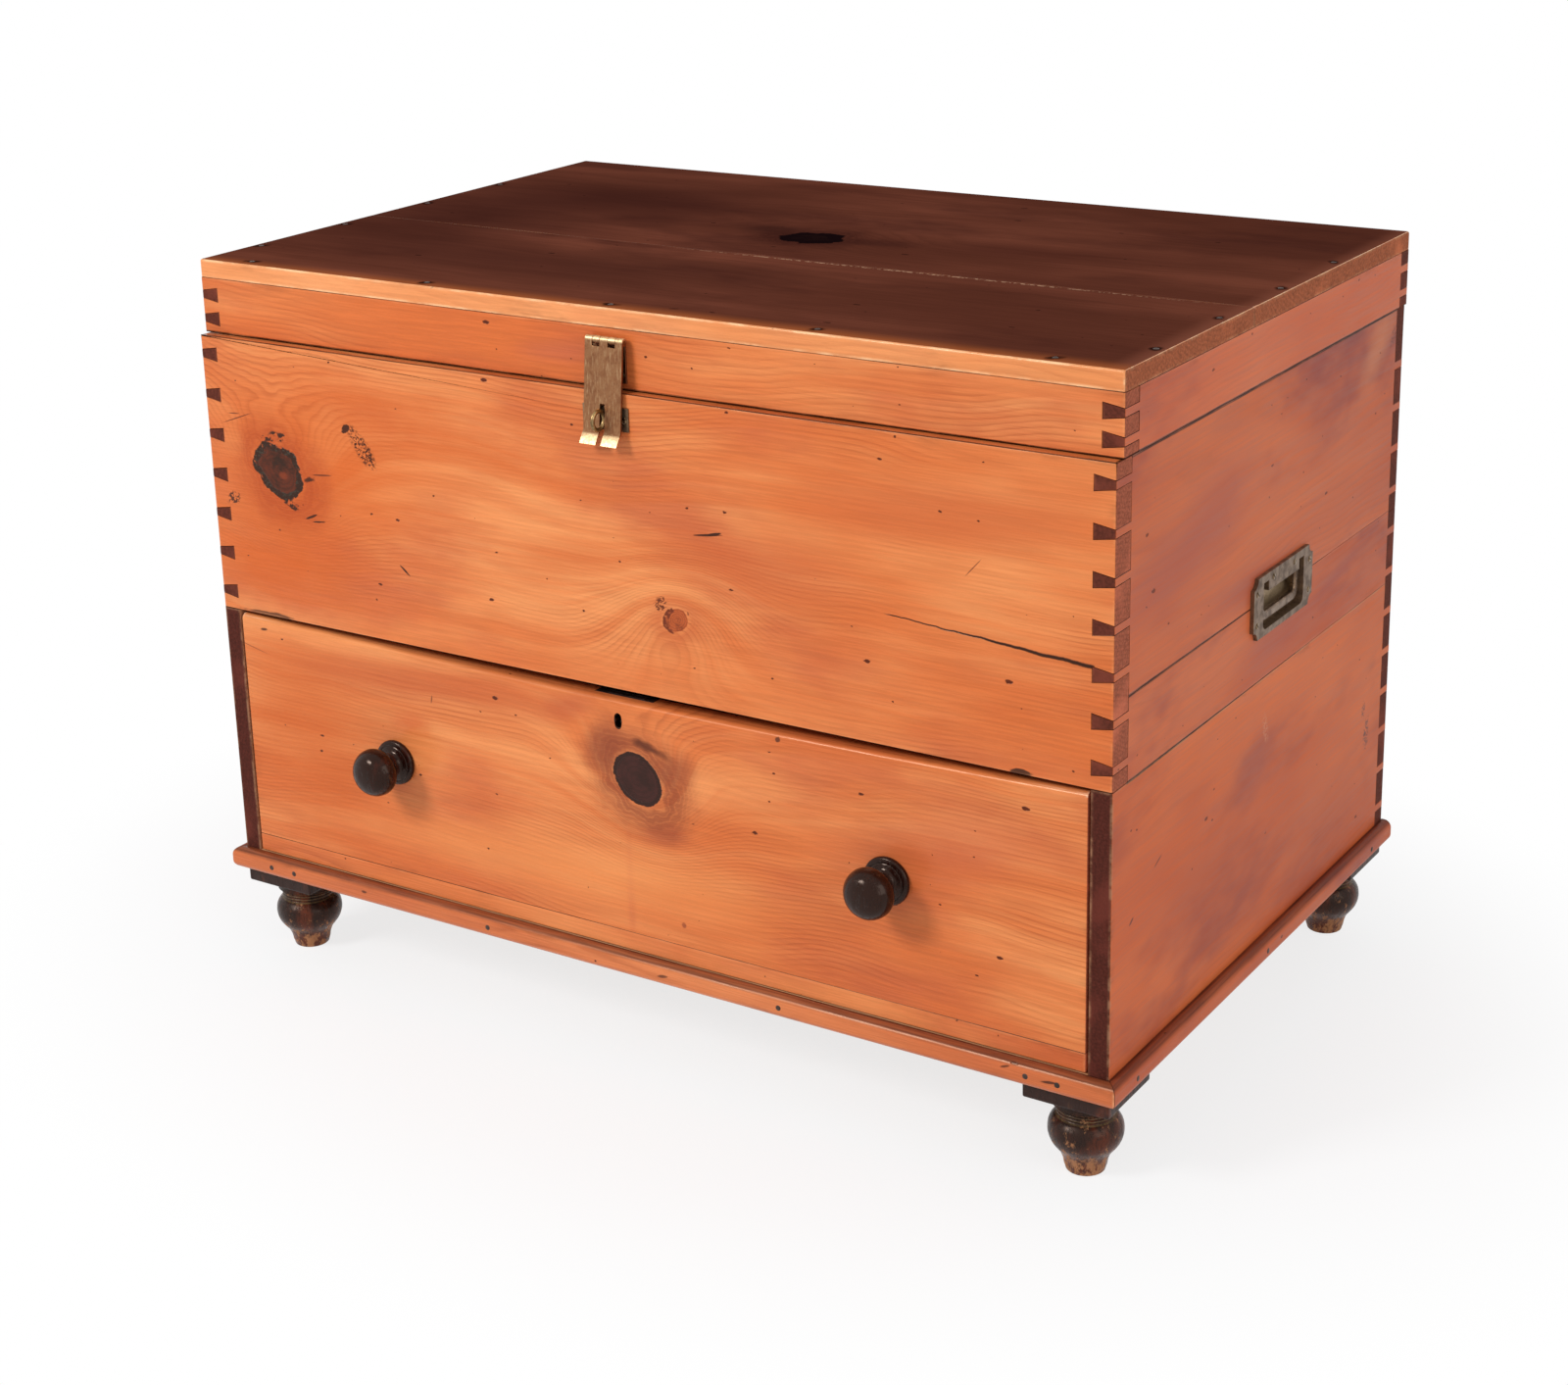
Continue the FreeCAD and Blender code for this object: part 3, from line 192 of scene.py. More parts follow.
class Graph(Tree):
    """The shader nodes of a material or of the world."""

    def __init__(self, owner: Union[bpy.types.Material, bpy.types.World]) -> None:
        """Starts with an empty tree.

        Args:
            owner: What the nodes belong to.
        """
        owner.use_nodes = True
        super().__init__(owner.node_tree, "ShaderNode")
        self.owner = owner
        self.tree.nodes.clear()

    @classmethod
    def of(cls, name: str) -> Graph:
        """Returns the graph of a new material."""
        return cls(bpy.data.materials.new(name))

    def wire(self, kind: str, inputs: dict[Key, Value], out: Key = 0, **settings: object) -> Wire:
        """Adds a node and returns one of its outputs."""
        return Wire(self, self.node(kind, inputs, **settings).outputs[out])

    def math(self, kind: str, a: Value, b: Value = 0.0) -> Wire:
        """Returns the result of a Math node."""
        return self.wire("Math", {0: a, 1: b}, operation=kind)

    def most(self, a: Value, b: Value) -> Wire:
        """Returns the larger value."""
        return self.math("MAXIMUM", a, b)

    def vector(self, kind: str, a: Value, b: Value = (0.0, 0.0, 0.0), out: Key = 0) -> Wire:
        """Returns the result of a Vector Math node."""
        return self.wire("VectorMath", {0: a, 1: b}, out, operation=kind)

    def parts(self, value: Value) -> tuple[Wire, Wire, Wire]:
        """Returns the three parts of a vector or colour."""
        outputs = self.node("SeparateXYZ", {0: value}).outputs
        return Wire(self, outputs[0]), Wire(self, outputs[1]), Wire(self, outputs[2])

    def joined(self, x: Value, y: Value, z: Value = 0.0) -> Wire:
        """Returns a vector of three parts."""
        return self.wire("CombineXYZ", {0: x, 1: y, 2: z})

    def step(self, value: Value, low: Value, high: Value, start: Value = 0.0, end: Value = 1.0) -> Wire:
        """Maps a value smoothly from one range to another.

        Args:
            value: What is mapped.
            low: The value that gives start.
            high: The value that gives end.
            start: The result at low.
            end: The result at high.

        Returns:
            The mapped and clamped value.
        """
        inputs = {0: value, 1: low, 2: high, 3: start, 4: end}
        return self.wire("MapRange", inputs, interpolation_type="SMOOTHSTEP")

    def mix(self, share: Value, a: Value, b: Value, blend: str = "MIX") -> Wire:
        """Blends a share of a second colour into a first."""
        return self.wire("Mix", {0: share, 6: a, 7: b}, 2, data_type="RGBA", blend_type=blend)

    def coat(self, colour: Value, share: Value, paint: Colour) -> Wire:
        """Lays a share of a display colour over a colour."""
        return self.mix(share, colour, display(paint))

    def noise(self, place: Value, scale: float, detail: float = 3.0, rough: float = 0.5, out: int = 0) -> Wire:
        """Returns the grey, or as output 1 the colour, of a Noise Texture."""
        inputs = {"Vector": place, "Scale": scale, "Detail": detail, "Roughness": rough}
        return self.wire("TexNoise", inputs, out)

    def place(self) -> Wire:
        """Returns the Object coordinates."""
        return self.wire("TexCoord", {}, "Object")

    def stretched(self, place: Value, scale: Sequence[float], shift: Sequence[float] = (0, 0, 0)) -> Wire:
        """Scales a place and then shifts it."""
        return self.wire("Mapping", {"Vector": place, "Scale": scale, "Location": shift})

    def ramp(self, value: Value, stops: Sequence[tuple[float, float]]) -> Wire:
        """Turns a value into a grey level through a colour ramp.

        Args:
            value: The ramp's factor.
            stops: Pairs of position and grey level.

        Returns:
            The grey level.
        """
        made = self.node("ValToRGB", {0: value})
        stones = made.color_ramp.elements
        while len(stones) < len(stops):
            stones.new(0.5)
        for stone, (position, level) in zip(stones, stops):
            stone.position = position
            stone.color = (level, level, level, 1.0)
        return Wire(self, made.outputs[0])

    def seen(self) -> Wire:
        """Marks the rays that show the backdrop: to the camera, in gloss and through glass.

        Returns:
            1 for those rays and 0 for others.
        """
        rays = self.node("LightPath", {}).outputs
        seen = self.most(rays["Is Camera Ray"], rays["Is Glossy Ray"])
        return self.most(seen, rays["Is Transmission Ray"])

    def bump(self, height: Value, depth: float) -> Wire:
        """Returns the normal of a Bump node, with depth in millimetres."""
        return self.wire("Bump", {"Height": height, "Distance": depth * MM, "Strength": 1.0})

    def finish(self, **inputs: Value) -> bpy.types.Material:
        """Closes the material with a Principled shader.

        Args:
            **inputs: Its inputs, with underscores for spaces.

        Returns:
            The finished material.
        """
        named = {key.replace("_", " "): value for key, value in inputs.items()}
        self.node("OutputMaterial", {0: self.wire("BsdfPrincipled", named)})
        return self.owner


@dataclass(frozen=True)
class Knot:
    """A knot in a board, with the grain that flows round it."""

    along: float
    across: float
    half_length: float
    half_width: float
    tilt: float = 0.0
    core: Colour = (96, 44, 30)
    bark: Colour = (38, 22, 20)
    bark_width: float = 0.16
    bark_breaks: float = 0.5
    halo: Colour = (150, 74, 46)
    halo_reach: float = 2.0
    halo_share: float = 0.45
    bloom: Union[Colour, None] = None
    swirl: float = 6.0
    spread: float = 2.6
    ragged: float = 0.1


@dataclass(frozen=True)
class Split:
    """A dark line along a board's face, thin at its start and open at its end: used for cracks, for joint lines and
    for painted shade along the gap under the lid.
    """

    start: tuple[float, float]
    end: tuple[float, float]
    width: float = 0.8
    wander: float = 2.0


@dataclass(frozen=True)
class Blot:
    """A mark or stain on a board's face."""

    along: float
    across: float
    half_length: float
    half_width: float
    tilt: float = 0.0
    colour: Colour = (60, 30, 22)
    share: float = 0.8
    ragged: float = 0.5
    soft: float = 0.5
    grit: float = 0.0
    broad_face_only: bool = False


Mark = Union[Knot, Split, Blot]


@dataclass(frozen=True)
class Timber:
    """A polished and aged softwood finish."""

    pale: Colour = (242, 155, 94)
    deep: Colour = (216, 110, 54)
    blush: Colour = (198, 96, 58)
    line: Colour = (150, 60, 26)
    inner: Colour = (206, 148, 104)
    end: Colour = (112, 60, 46)
    # worn is the colour of the pale rub on the edges: wear on most finishes, a painted highlight on the drawer front
    # and the lid edges.
    worn: Colour = (240, 158, 104)
    dirt: Colour = (60, 20, 8)
    speck: Colour = (88, 28, 6)
    line_gap: float = 4.6
    line_share: float = 0.4
    band_share: float = 0.6
    blush_share: float = 0.7
    wear_and_highlight_share: float = 0.35
    end_worn: float = 0.2
    painted_highlight_above: bool = False
    dirt_share: float = 0.5
    fleck_share: float = 1.0
    gloss: float = 0.34
    roughness: float = 0.24


POLISHED = Timber(end=(184, 102, 76))
# Painted highlight: the drawer front's near-white rub, kept to faces that look up, stands for the gloss along its top
# bead.
DRAWER = replace(POLISHED, worn=(252, 204, 170), wear_and_highlight_share=0.9, painted_highlight_above=True)
# Painted shade, in part: the side finishes are pinker wood and are also made darker than the front, for faces turned
# away from the key lamp.
SIDE_TONE_AND_SHADE = Timber(
    pale=(212, 112, 68), deep=(188, 86, 50), blush=(140, 60, 56), line=(130, 54, 36), worn=(214, 124, 86),
    line_share=0.12, band_share=0.4, blush_share=0.9, gloss=0.16, roughness=0.42, fleck_share=0.8, end=(108, 54, 42),
)
LID_SIDE_TONE_AND_SHADE = replace(SIDE_TONE_AND_SHADE, pale=(224, 124, 80), deep=(202, 99, 62), blush=(156, 74, 62))
STILE = replace(
    SIDE_TONE_AND_SHADE, pale=(221, 115, 63), deep=(200, 92, 46), blush=(156, 70, 52), line=(138, 58, 38), worn=(186, 138, 104),
    wear_and_highlight_share=0.6, dirt_share=0.9, end=(92, 44, 36), end_worn=0.9,
)
LID_TOP = Timber(
    pale=(126, 70, 53), deep=(98, 52, 39), blush=(72, 36, 30), line=(62, 30, 23), dirt=(30, 14, 12),
    speck=(30, 14, 12), worn=(140, 76, 52), line_share=0.22, gloss=0.0, roughness=0.55, fleck_share=0.6,
)
# Painted highlight: the near-white rub along the lid boards' arrises stands for the gloss on the front arris.
LID_EDGE = Timber(
    pale=(245, 164, 107), deep=(230, 140, 80), blush=(208, 118, 80), worn=(255, 206, 156), wear_and_highlight_share=0.85,
    dirt_share=0.6, end=(184, 104, 70), gloss=0.4, line_share=0.2, band_share=0.3, fleck_share=0.6,
)
STRIP = Timber(
    pale=(228, 136, 84), deep=(206, 110, 64), blush=(188, 94, 62), worn=(240, 172, 126), wear_and_highlight_share=0.75,
    dirt_share=0.8,
)
BARE = Timber(
    pale=(208, 156, 112), deep=(190, 136, 96), blush=(176, 120, 88), line=(150, 100, 68), inner=(206, 154, 110),
    end=(150, 100, 70), worn=(214, 168, 128), gloss=0.1, roughness=0.62, blush_share=0.4, fleck_share=0.5,
)


@dataclass(frozen=True)
class Board:
    """One board: its node, how its grain lies, and its finish."""

    node: str
    grain: Axis
    face: Axis
    outward: int
    finish: Timber = POLISHED
    flat: Union[Timber, None] = None
    # Faces darkened with dirt and painted shade, and faces lined dark with both along their edges.
    sooty: tuple[str, ...] = ()
    lined: tuple[str, ...] = ()
    arris: float = 1.0
    faces: dict[str, float] = field(default_factory=dict)
    slack: float = 0.4
    heart: tuple[float, float] = (60.0, 220.0)
    turn: int = 1
    closes: Union[tuple[float, float], None] = None
    marks: tuple[Mark, ...] = ()
    body: str = "carcase"
    slot: Slot = Slot.WOOD


class BoardShader:
    """Builds the material of one board from its finish and its marks."""

    def __init__(self, board: Board, finish: Timber, where: str = "wood") -> None:
        """Measures the board's place.

        Args:
            board: The board.
            finish: Its finish, on all of it or on some faces.
            where: Which faces those are, for the material's name.
        """
        self.board, self.finish, self.where = board, finish, where
        self.graph = Graph.of(f"{where}_{board.node}")
        self.low, self.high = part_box(board.node)
        self.across = ({0, 1, 2} - {board.grain.value, board.face.value}).pop()
        self.swirled: Value = 0.0
        self.pits: Value = 0.0

    def marks(self, kind: type) -> list[Mark]:
        """Returns the board's marks of one kind."""
        return [mark for mark in self.board.marks if isinstance(mark, kind)]

    def grain(self, fine: Grain, detail: float, rough: float = 0.5, shift: Sequence[float] = (0, 0, 0)) -> Wire:
        """Returns a noise that is drawn out along the grain."""
        return self.graph.noise(self.graph.stretched(self.seeded, fine.value, shift), 1.0, detail, rough)

    def axes(self) -> None:
        """Splits the coordinates into along, across and depth below the outer face."""
        graph, board = self.graph, self.board
        parts = graph.parts(graph.place())
        self.along, self.wide = parts[board.grain.value], parts[self.across]
        outer = (self.high if board.outward > 0 else self.low)[board.face.value]
        self.depth = (parts[board.face.value] - outer) * -board.outward
        self.flat = graph.joined(self.along, self.wide)
        seed = (1.37 * board.turn, 0.71 * board.turn, 0.53 * board.turn)
        self.seeded = graph.vector("ADD", graph.joined(self.along, self.wide, self.depth), seed)
        self.turned = graph.parts(graph.wire("TexCoord", {}, "Normal"))
        self.end_face = graph.step(abs(self.turned[board.grain.value]), 0.55, 0.75)
        self.inner_face = graph.step(self.turned[board.face.value] * board.outward, -0.7, -0.5, 1.0, 0.0)

    def local(self, at: tuple[float, float], turn: float, size: tuple[float, float]) -> Wire:
        """Measures the face from a mark, in the mark's own sizes.

        Args:
            at: The mark's place along and across the board.
            turn: How far it is turned, in radians.
            size: What counts as 1 along and across it.

        Returns:
            The coordinates.
        """
        inputs = {
            "Vector": self.flat,
            "Location": (at[0] * MM, at[1] * MM, 0),
            "Rotation": (0, 0, turn),
            "Scale": (size[0] * MM, size[1] * MM, 1),
        }
        return self.graph.wire("Mapping", inputs, vector_type="TEXTURE")

    def reach(self, mark: Union[Knot, Blot], ragged: float, grain: float) -> Wire:
        """Measures how far a point is from a mark's centre, where 1 is its outline.

        Args:
            mark: The knot or blot.
            ragged: How uneven the outline is.
            grain: The scale of that unevenness.

        Returns:
            The distance.
        """
        size = (mark.half_length, mark.half_width)
        inside = self.local((mark.along, mark.across), math.radians(mark.tilt), size)
        distance = self.graph.vector("LENGTH", inside, out="Value")
        return distance + (self.graph.noise(self.seeded, grain) - 0.5) * (ragged * 2)

    def rings(self) -> Wire:
        """Lays out the year rings, which bend round every knot.

        Returns:
            The ring number at each point, with fractions.
        """
        graph, heart = self.graph, self.board.heart
        centre = (self.low[self.across] + self.high[self.across]) / 2 + heart[0] * MM
        side = self.wide - centre + (self.grain(Grain.BEND, 2) - 0.5) * 0.11
        deep = self.depth + heart[1] * MM
        radius = graph.math("SQRT", side * side + deep * deep)
        rings = radius / (self.finish.line_gap * MM) + self.grain(Grain.SHAKE, 4) * 1.1
        for knot in self.marks(Knot):
            scaled = self.reach(knot, 0.5, 16.0) / knot.spread
            fall = graph.math("EXPONENT", scaled * scaled * -1.0)
            rings = rings + fall * knot.swirl
            self.swirled = graph.most(self.swirled, fall)
        return rings

    def lay(self, share: Value, paint: Union[Colour, Wire]) -> None:
        """Lays a share of a display colour, or of a colour that varies, over the board's colour."""
        self.colour = self.graph.mix(share, self.colour, paint if isinstance(paint, Wire) else display(paint))

    def tone(self) -> None:
        """Gives the board its ground colour, from its growth lines to its stains."""
        graph, finish = self.graph, self.finish
        broad = graph.step(self.grain(Grain.BROAD, 3, 0.55), 0.34, 0.66)
        self.colour = graph.coat(display(finish.pale), broad, finish.deep)
        cloud = self.grain(Grain.CLOUD, 4, 0.6, (4.1, 2.2, 0))
        self.lay(graph.step(cloud, 0.46, 0.7, 0.0, finish.blush_share), finish.blush)
        rings = self.rings()
        band = graph.noise(graph.joined(rings * 0.16, self.along * 1.2), 1.0, 3, 0.6)
        self.lay(graph.step(band, 0.4, 0.62, 0.0, finish.band_share), finish.deep)
        late_wood = ((0.0, 0.0), (0.45, 0.08), (0.86, 1.0), (0.93, 0.3), (1.0, 0.0))
        self.late = graph.ramp(graph.math("FRACT", rings), late_wood)
        fade = self.grain(Grain.FADE, 3, 0.6, (0.3, 7.7, 0))
        strength = graph.step(fade, 0.4, 0.66, 0.08 * finish.line_share, finish.line_share)
        strength = graph.most(strength, self.swirled * (0.6 * finish.line_share))
        self.lay(self.late * strength, finish.line)
        self.streak = self.grain(Grain.STREAK, 3, 0.6)
        level = graph.step(self.streak, 0.3, 0.72, 0.90, 1.05)
        shade = graph.wire("CombineColor", {0: level, 1: level, 2: level})
        self.colour = graph.mix(1.0, self.colour, shade, "MULTIPLY")
        self.lay(graph.step(self.grain(Grain.PORE, 2, 0.6), 0.66, 0.8, 0.0, 0.3), finish.line)

    def flecks(self) -> None:
        """Adds the small dark flecks and worm holes of old softwood."""
        graph, finish = self.graph, self.finish
        skewed = graph.vector("ADD", self.seeded, graph.joined(self.depth * 0.6, self.depth))
        rows = ((15.0, (0.5, 1.0, 1.0), 0.034, 0.6), (34.0, (0.7, 1.0, 1.0), 0.042, 0.76))
        for scale, stretch, size, odds in rows:
            wobble = graph.vector("MULTIPLY", graph.noise(skewed, 330.0, 2, out=1), (0.004, 0.002, 0.0))
            moved = graph.stretched(graph.vector("ADD", skewed, wobble), stretch)
            cell = graph.node("TexVoronoi", {"Vector": moved, "Scale": scale}, voronoi_dimensions="2D").outputs
            chance, width, _ = graph.parts(cell["Color"])
            spot = graph.step(Wire(graph, cell["Distance"]) / (width * size), 0.75, 1.05, 1.0, 0.0)
            spot = spot * graph.math("GREATER_THAN", chance, odds) * finish.fleck_share
            self.lay(spot, finish.speck)
            self.pits = graph.most(self.pits, spot)

    def knots(self) -> None:
        """Draws the board's knots with their bark, core and darker surround."""
        graph = self.graph
        for knot in self.marks(Knot):
            fray = graph.noise(self.seeded, 330.0, 3, 0.7)
            far = self.reach(knot, knot.ragged, 45.0) + (fray - 0.5) * (0.06 + knot.ragged * 0.4)
            soft = far + (graph.noise(self.seeded, 26.0) - 0.5) * 1.7
            halo = graph.step(soft, 1.0, knot.halo_reach, knot.halo_share, 0.0)
            halo = halo * graph.step(soft, 0.9, 1.3, 0.35, 1.0)
            ripple = graph.step(graph.math("SINE", soft * 26.0), 0.2, 1.0, 1.0, 0.72)
            self.lay(halo * ripple, knot.halo)
            heart = graph.step(self.grain(Grain.HEART, 5, 0.7), 0.42, 0.66)
            core = graph.coat(display(knot.core), heart, knot.bark)
            pulse = graph.math("SINE", far * 30.0)
            core = graph.coat(core, graph.step(pulse, 0.0, 1.0, 0.0, 0.45), knot.bark)
            self.lay(graph.step(far, 0.96, 1.02, 1.0, 0.0), core)
            rim = graph.step(abs(far - 0.95), knot.bark_width * 0.7, knot.bark_width, 1.0, 0.0)
            whole = 0.3 * (1 - knot.bark_breaks)
            gaps = graph.noise(self.seeded, 60.0, 3, 0.6)
            rim = rim * graph.step(gaps, 0.44 + whole, 0.5 + whole, 1.0, 0.0)
            self.lay(rim, knot.bark)
            if knot.bloom:
                self.lay(rim * graph.step(fray, 0.5, 0.64, 0.0, 0.6), knot.bloom)
            self.pits = graph.most(self.pits, rim * 0.5)

    def splits(self) -> None:
        """Draws the board's dark lines: cracks, joint lines and painted shade along the gap under the lid."""
        graph = self.graph
        for split in self.marks(Split):
            (x0, y0), (x1, y1) = split.start, split.end
            size = (math.hypot(x1 - x0, y1 - y0), 1.0)
            on, off, _ = graph.parts(self.local(split.start, math.atan2(y1 - y0, x1 - x0), size))
            off = off + (self.grain(Grain.CRACK, 4, 0.6) - 0.5) * (split.wander * 2)
            near = abs(off) / graph.step(on, 0.1, 1.0, 0.3 * split.width, split.width)
            inside = graph.step(on, 0.0, 0.05) * graph.step(on, 1.0, 1.01, 1.0, 0.0)
            dark = graph.step(near, 0.4, 1.0, 1.0, 0.0) * inside
            self.lay(dark, CRACK)
            self.pits = graph.most(self.pits, dark)

    def blots(self, broad: bool) -> None:
        """Draws the board's stains or marks.

        Args:
            broad: True for the soft stains, False for the marks.
        """
        graph = self.graph
        for blot in self.marks(Blot):
            if (blot.soft > 0.7) != broad or (blot.broad_face_only and self.where != "flat"):
                continue
            far = self.reach(blot, blot.ragged, 900.0 / max(blot.half_length, blot.half_width))
            share = graph.step(far, 1.0 - blot.soft, 1.0 + blot.soft * 0.4, blot.share, 0.0)
            if blot.grit:
                share = share * graph.step(graph.noise(self.seeded, blot.grit, 2, 0.7), 0.47, 0.54)
            self.lay(share, blot.colour)

    def edges(self) -> None:
        """Wears the board's outer edges pale in places and dirties them in others; on the drawer front and the lid
        boards the pale rub is a painted highlight.
        """
        graph, finish = self.graph, self.finish
        place = graph.place()
        from_low = graph.vector("SUBTRACT", place, tuple(self.low))
        from_high = graph.vector("SUBTRACT", tuple(self.high), place)
        a, b, c = graph.parts(graph.vector("MINIMUM", from_low, from_high))
        least = graph.math("MINIMUM", graph.math("MINIMUM", a, b), c)
        self.inset = a + b + c - least - graph.most(graph.most(a, b), c)
        patch = self.grain(Grain.RUB, 4, 0.65)
        rub_and_highlight = graph.step(self.inset, 0.0006, 0.0032, 1.0, 0.0) * graph.step(patch, 0.42, 0.62, 0.15, 1.0)
        rub_and_highlight = rub_and_highlight * (1.0 - self.end_face * (1.0 - finish.end_worn))
        # Painted highlight: on finishes that ask for it, the pale rub is kept to faces that look up.
        if finish.painted_highlight_above:
            rub_and_highlight = rub_and_highlight * graph.step(self.turned[2], 0.1, 0.4)
        self.lay(rub_and_highlight * finish.wear_and_highlight_share, finish.worn)
        soot = self.grain(Grain.SOOT, 4, 0.7, (3, 0, 9))
        grime = graph.step(self.inset, 0.001, 0.012, 1.0, 0.0) * graph.step(soot, 0.52, 0.74)
        self.lay(grime * (0.5 * finish.dirt_share), finish.dirt)

    def soot(self) -> None:
        """Darkens narrow faces with dirt and painted shade, such as the ledge under the lid and the faces in the gaps
        round it.
        """
        graph = self.graph
        for name in self.board.sooty + self.board.lined:
            # Painted shade with dirt: full along the face's edges, and 0.72 or 0.08 of it in the middle.
            rest, soot = (0.72, (74, 30, 20)) if name in self.board.sooty else (0.08, (44, 15, 8))
            axis, sign = "xyz".index(name[1]), 1.0 if name[0] == "+" else -1.0
            facing = graph.step(self.turned[axis] * sign, 0.25, 0.8)
            streaks = graph.step(self.streak, 0.35, 0.7, 1.0, 0.75)
            banked = streaks * graph.step(self.inset, 0.0016, 0.0034, 1.0, rest)
            self.lay(facing * banked, soot)

    def ends(self) -> Wire:
        """Gives the end grain its colour, with the year rings cut across.

        Returns:
            The colour of the end grain.
        """
        graph, end = self.graph, self.finish.end
        darker = tuple(c * 0.72 for c in end)
        warm = tuple(min(255.0, c * 1.22) for c in end)
        speck = graph.step(graph.noise(self.seeded, 420.0, 4, 0.7), 0.3, 0.72)
        colour = graph.coat(graph.coat(display(end), speck, darker), self.late * 0.45, darker)
        return graph.coat(colour, graph.step(graph.noise(self.seeded, 18.0), 0.5, 0.7, 0.0, 0.6), warm)

    def build(self) -> bpy.types.Material:
        """Puts the whole material together.

        Returns:
            The board's material.
        """
        graph, finish = self.graph, self.finish
        self.axes()
        self.tone()
        self.blots(True)
        self.flecks()
        self.knots()
        bare = graph.coat(display(finish.inner), self.late * 0.35, finish.line)
        bare = graph.coat(bare, graph.step(self.streak, 0.3, 0.7, 0.0, 0.5), finish.line)
        self.lay(self.inner_face, bare)
        self.lay(self.end_face, self.ends())
        self.blots(False)
        self.splits()
        self.edges()
        self.soot()
        seam = graph.wire("Attribute", {}, "Fac", attribute_name="seam")
        if self.board.closes:
            tight = (MM * at for at in self.board.closes)
            seam = seam * graph.step(self.along, *tight, 1.0, 0.3)
        broken = graph.step(self.grain(Grain.BREAK, 3), 0.4, 0.6, 0.96, 0.6)
        self.lay(seam * broken, SEAM)
        relief = self.streak * 1.2 + self.late * 0.15 + self.pits * -6.0 + self.grain(Grain.WAVE, 2) * 7.0
        rough = graph.step(self.streak, 0.3, 0.7, finish.roughness - 0.05, finish.roughness + 0.09)
        return graph.finish(
            Base_Color=self.colour, Roughness=rough + self.end_face * 0.2, Specular_IOR_Level=finish.gloss,
            Specular_Tint=display(WARM_GLOSS), Normal=graph.bump(relief, 0.05),
        )


@dataclass(frozen=True)
class Ebonised:
    """Black-stained turned wood, rubbed through to red-brown and to bare wood at the toes."""

    name: str
    black: Colour = (44, 28, 26)
    red: Colour = (104, 52, 36)
    bare: Colour = (174, 120, 82)
    dirt: Colour = (112, 92, 62)
    crack: Colour = (22, 12, 10)
    wear: float = 0.5
    toe: float = 0.0
    rings: tuple[float, float] = (0.0, 0.0)
    ring_gap: float = 3.4
    roughness: float = 0.34
    gloss: float = 0.5

    def material(self) -> bpy.types.Material:
        """Builds the finish.

        Returns:
            The material.
        """
        graph = Graph.of(self.name)
        place = graph.place()
        high = graph.parts(place)[2]
        upright = graph.stretched(place, (1, 1, 0.35))
        cloud = graph.noise(upright, 46.0, 4, 0.65)
        fine = graph.noise(upright, 240.0, 4, 0.7)
        height = graph.step(high, 0.006, 0.006 + self.toe * MM + 0.0001, 1.0, 0.0)
        reddened = graph.step(cloud, 0.62 - 0.2 * self.wear, 0.8 - 0.1 * self.wear)
        colour = graph.coat(display(self.black), graph.most(reddened, height * 0.9), self.red)
        colour = graph.coat(colour, graph.step(fine, 0.5, 0.75, 0.0, 0.6), tuple(c * 0.6 for c in self.black))
        scuff = graph.noise(graph.stretched(place, (1, 1, 0.5)), 120.0, 6, 0.75)
        bare = graph.step(graph.step(scuff, 0.3, 0.7, 0.1, 0.9) + height * 0.4, 0.74, 0.9)
        bare = bare * (0.9 if self.toe else 0.25 * self.wear)
        colour = graph.coat(colour, bare, self.bare)
        if self.rings[1]:
            low, top = self.rings
            band = graph.step(high, low * MM, (low + 2) * MM)
            band = band * graph.step(high, (top - 2) * MM, top * MM, 1.0, 0.0)
            waves = graph.math("SINE", high * (2 * math.pi / (self.ring_gap * MM)))
            lines = band * graph.step(waves, 0.1, 0.9, 0.0, 0.75)
            colour = graph.coat(colour, lines * graph.step(cloud, 0.35, 0.6, 0.4, 1.0), self.dirt)
        crack = graph.noise(graph.stretched(place, (1, 1, 0.12)), 130.0, 3, 0.6)
        slit = graph.step(abs(crack - 0.5), 0.004, 0.016, 1.0, 0.0)
        colour = graph.coat(colour, slit * (0.5 * self.wear), self.crack)
        rough = graph.step(fine, 0.35, 0.7, self.roughness - 0.08, self.roughness + 0.14) + bare * 0.3
        return graph.finish(
            Base_Color=colour, Roughness=rough, Specular_IOR_Level=self.gloss, Specular_Tint=display(DARK_GLOSS),
            Normal=graph.bump(fine + cloud * 2.0 - slit * 1.5, 0.16),
        )


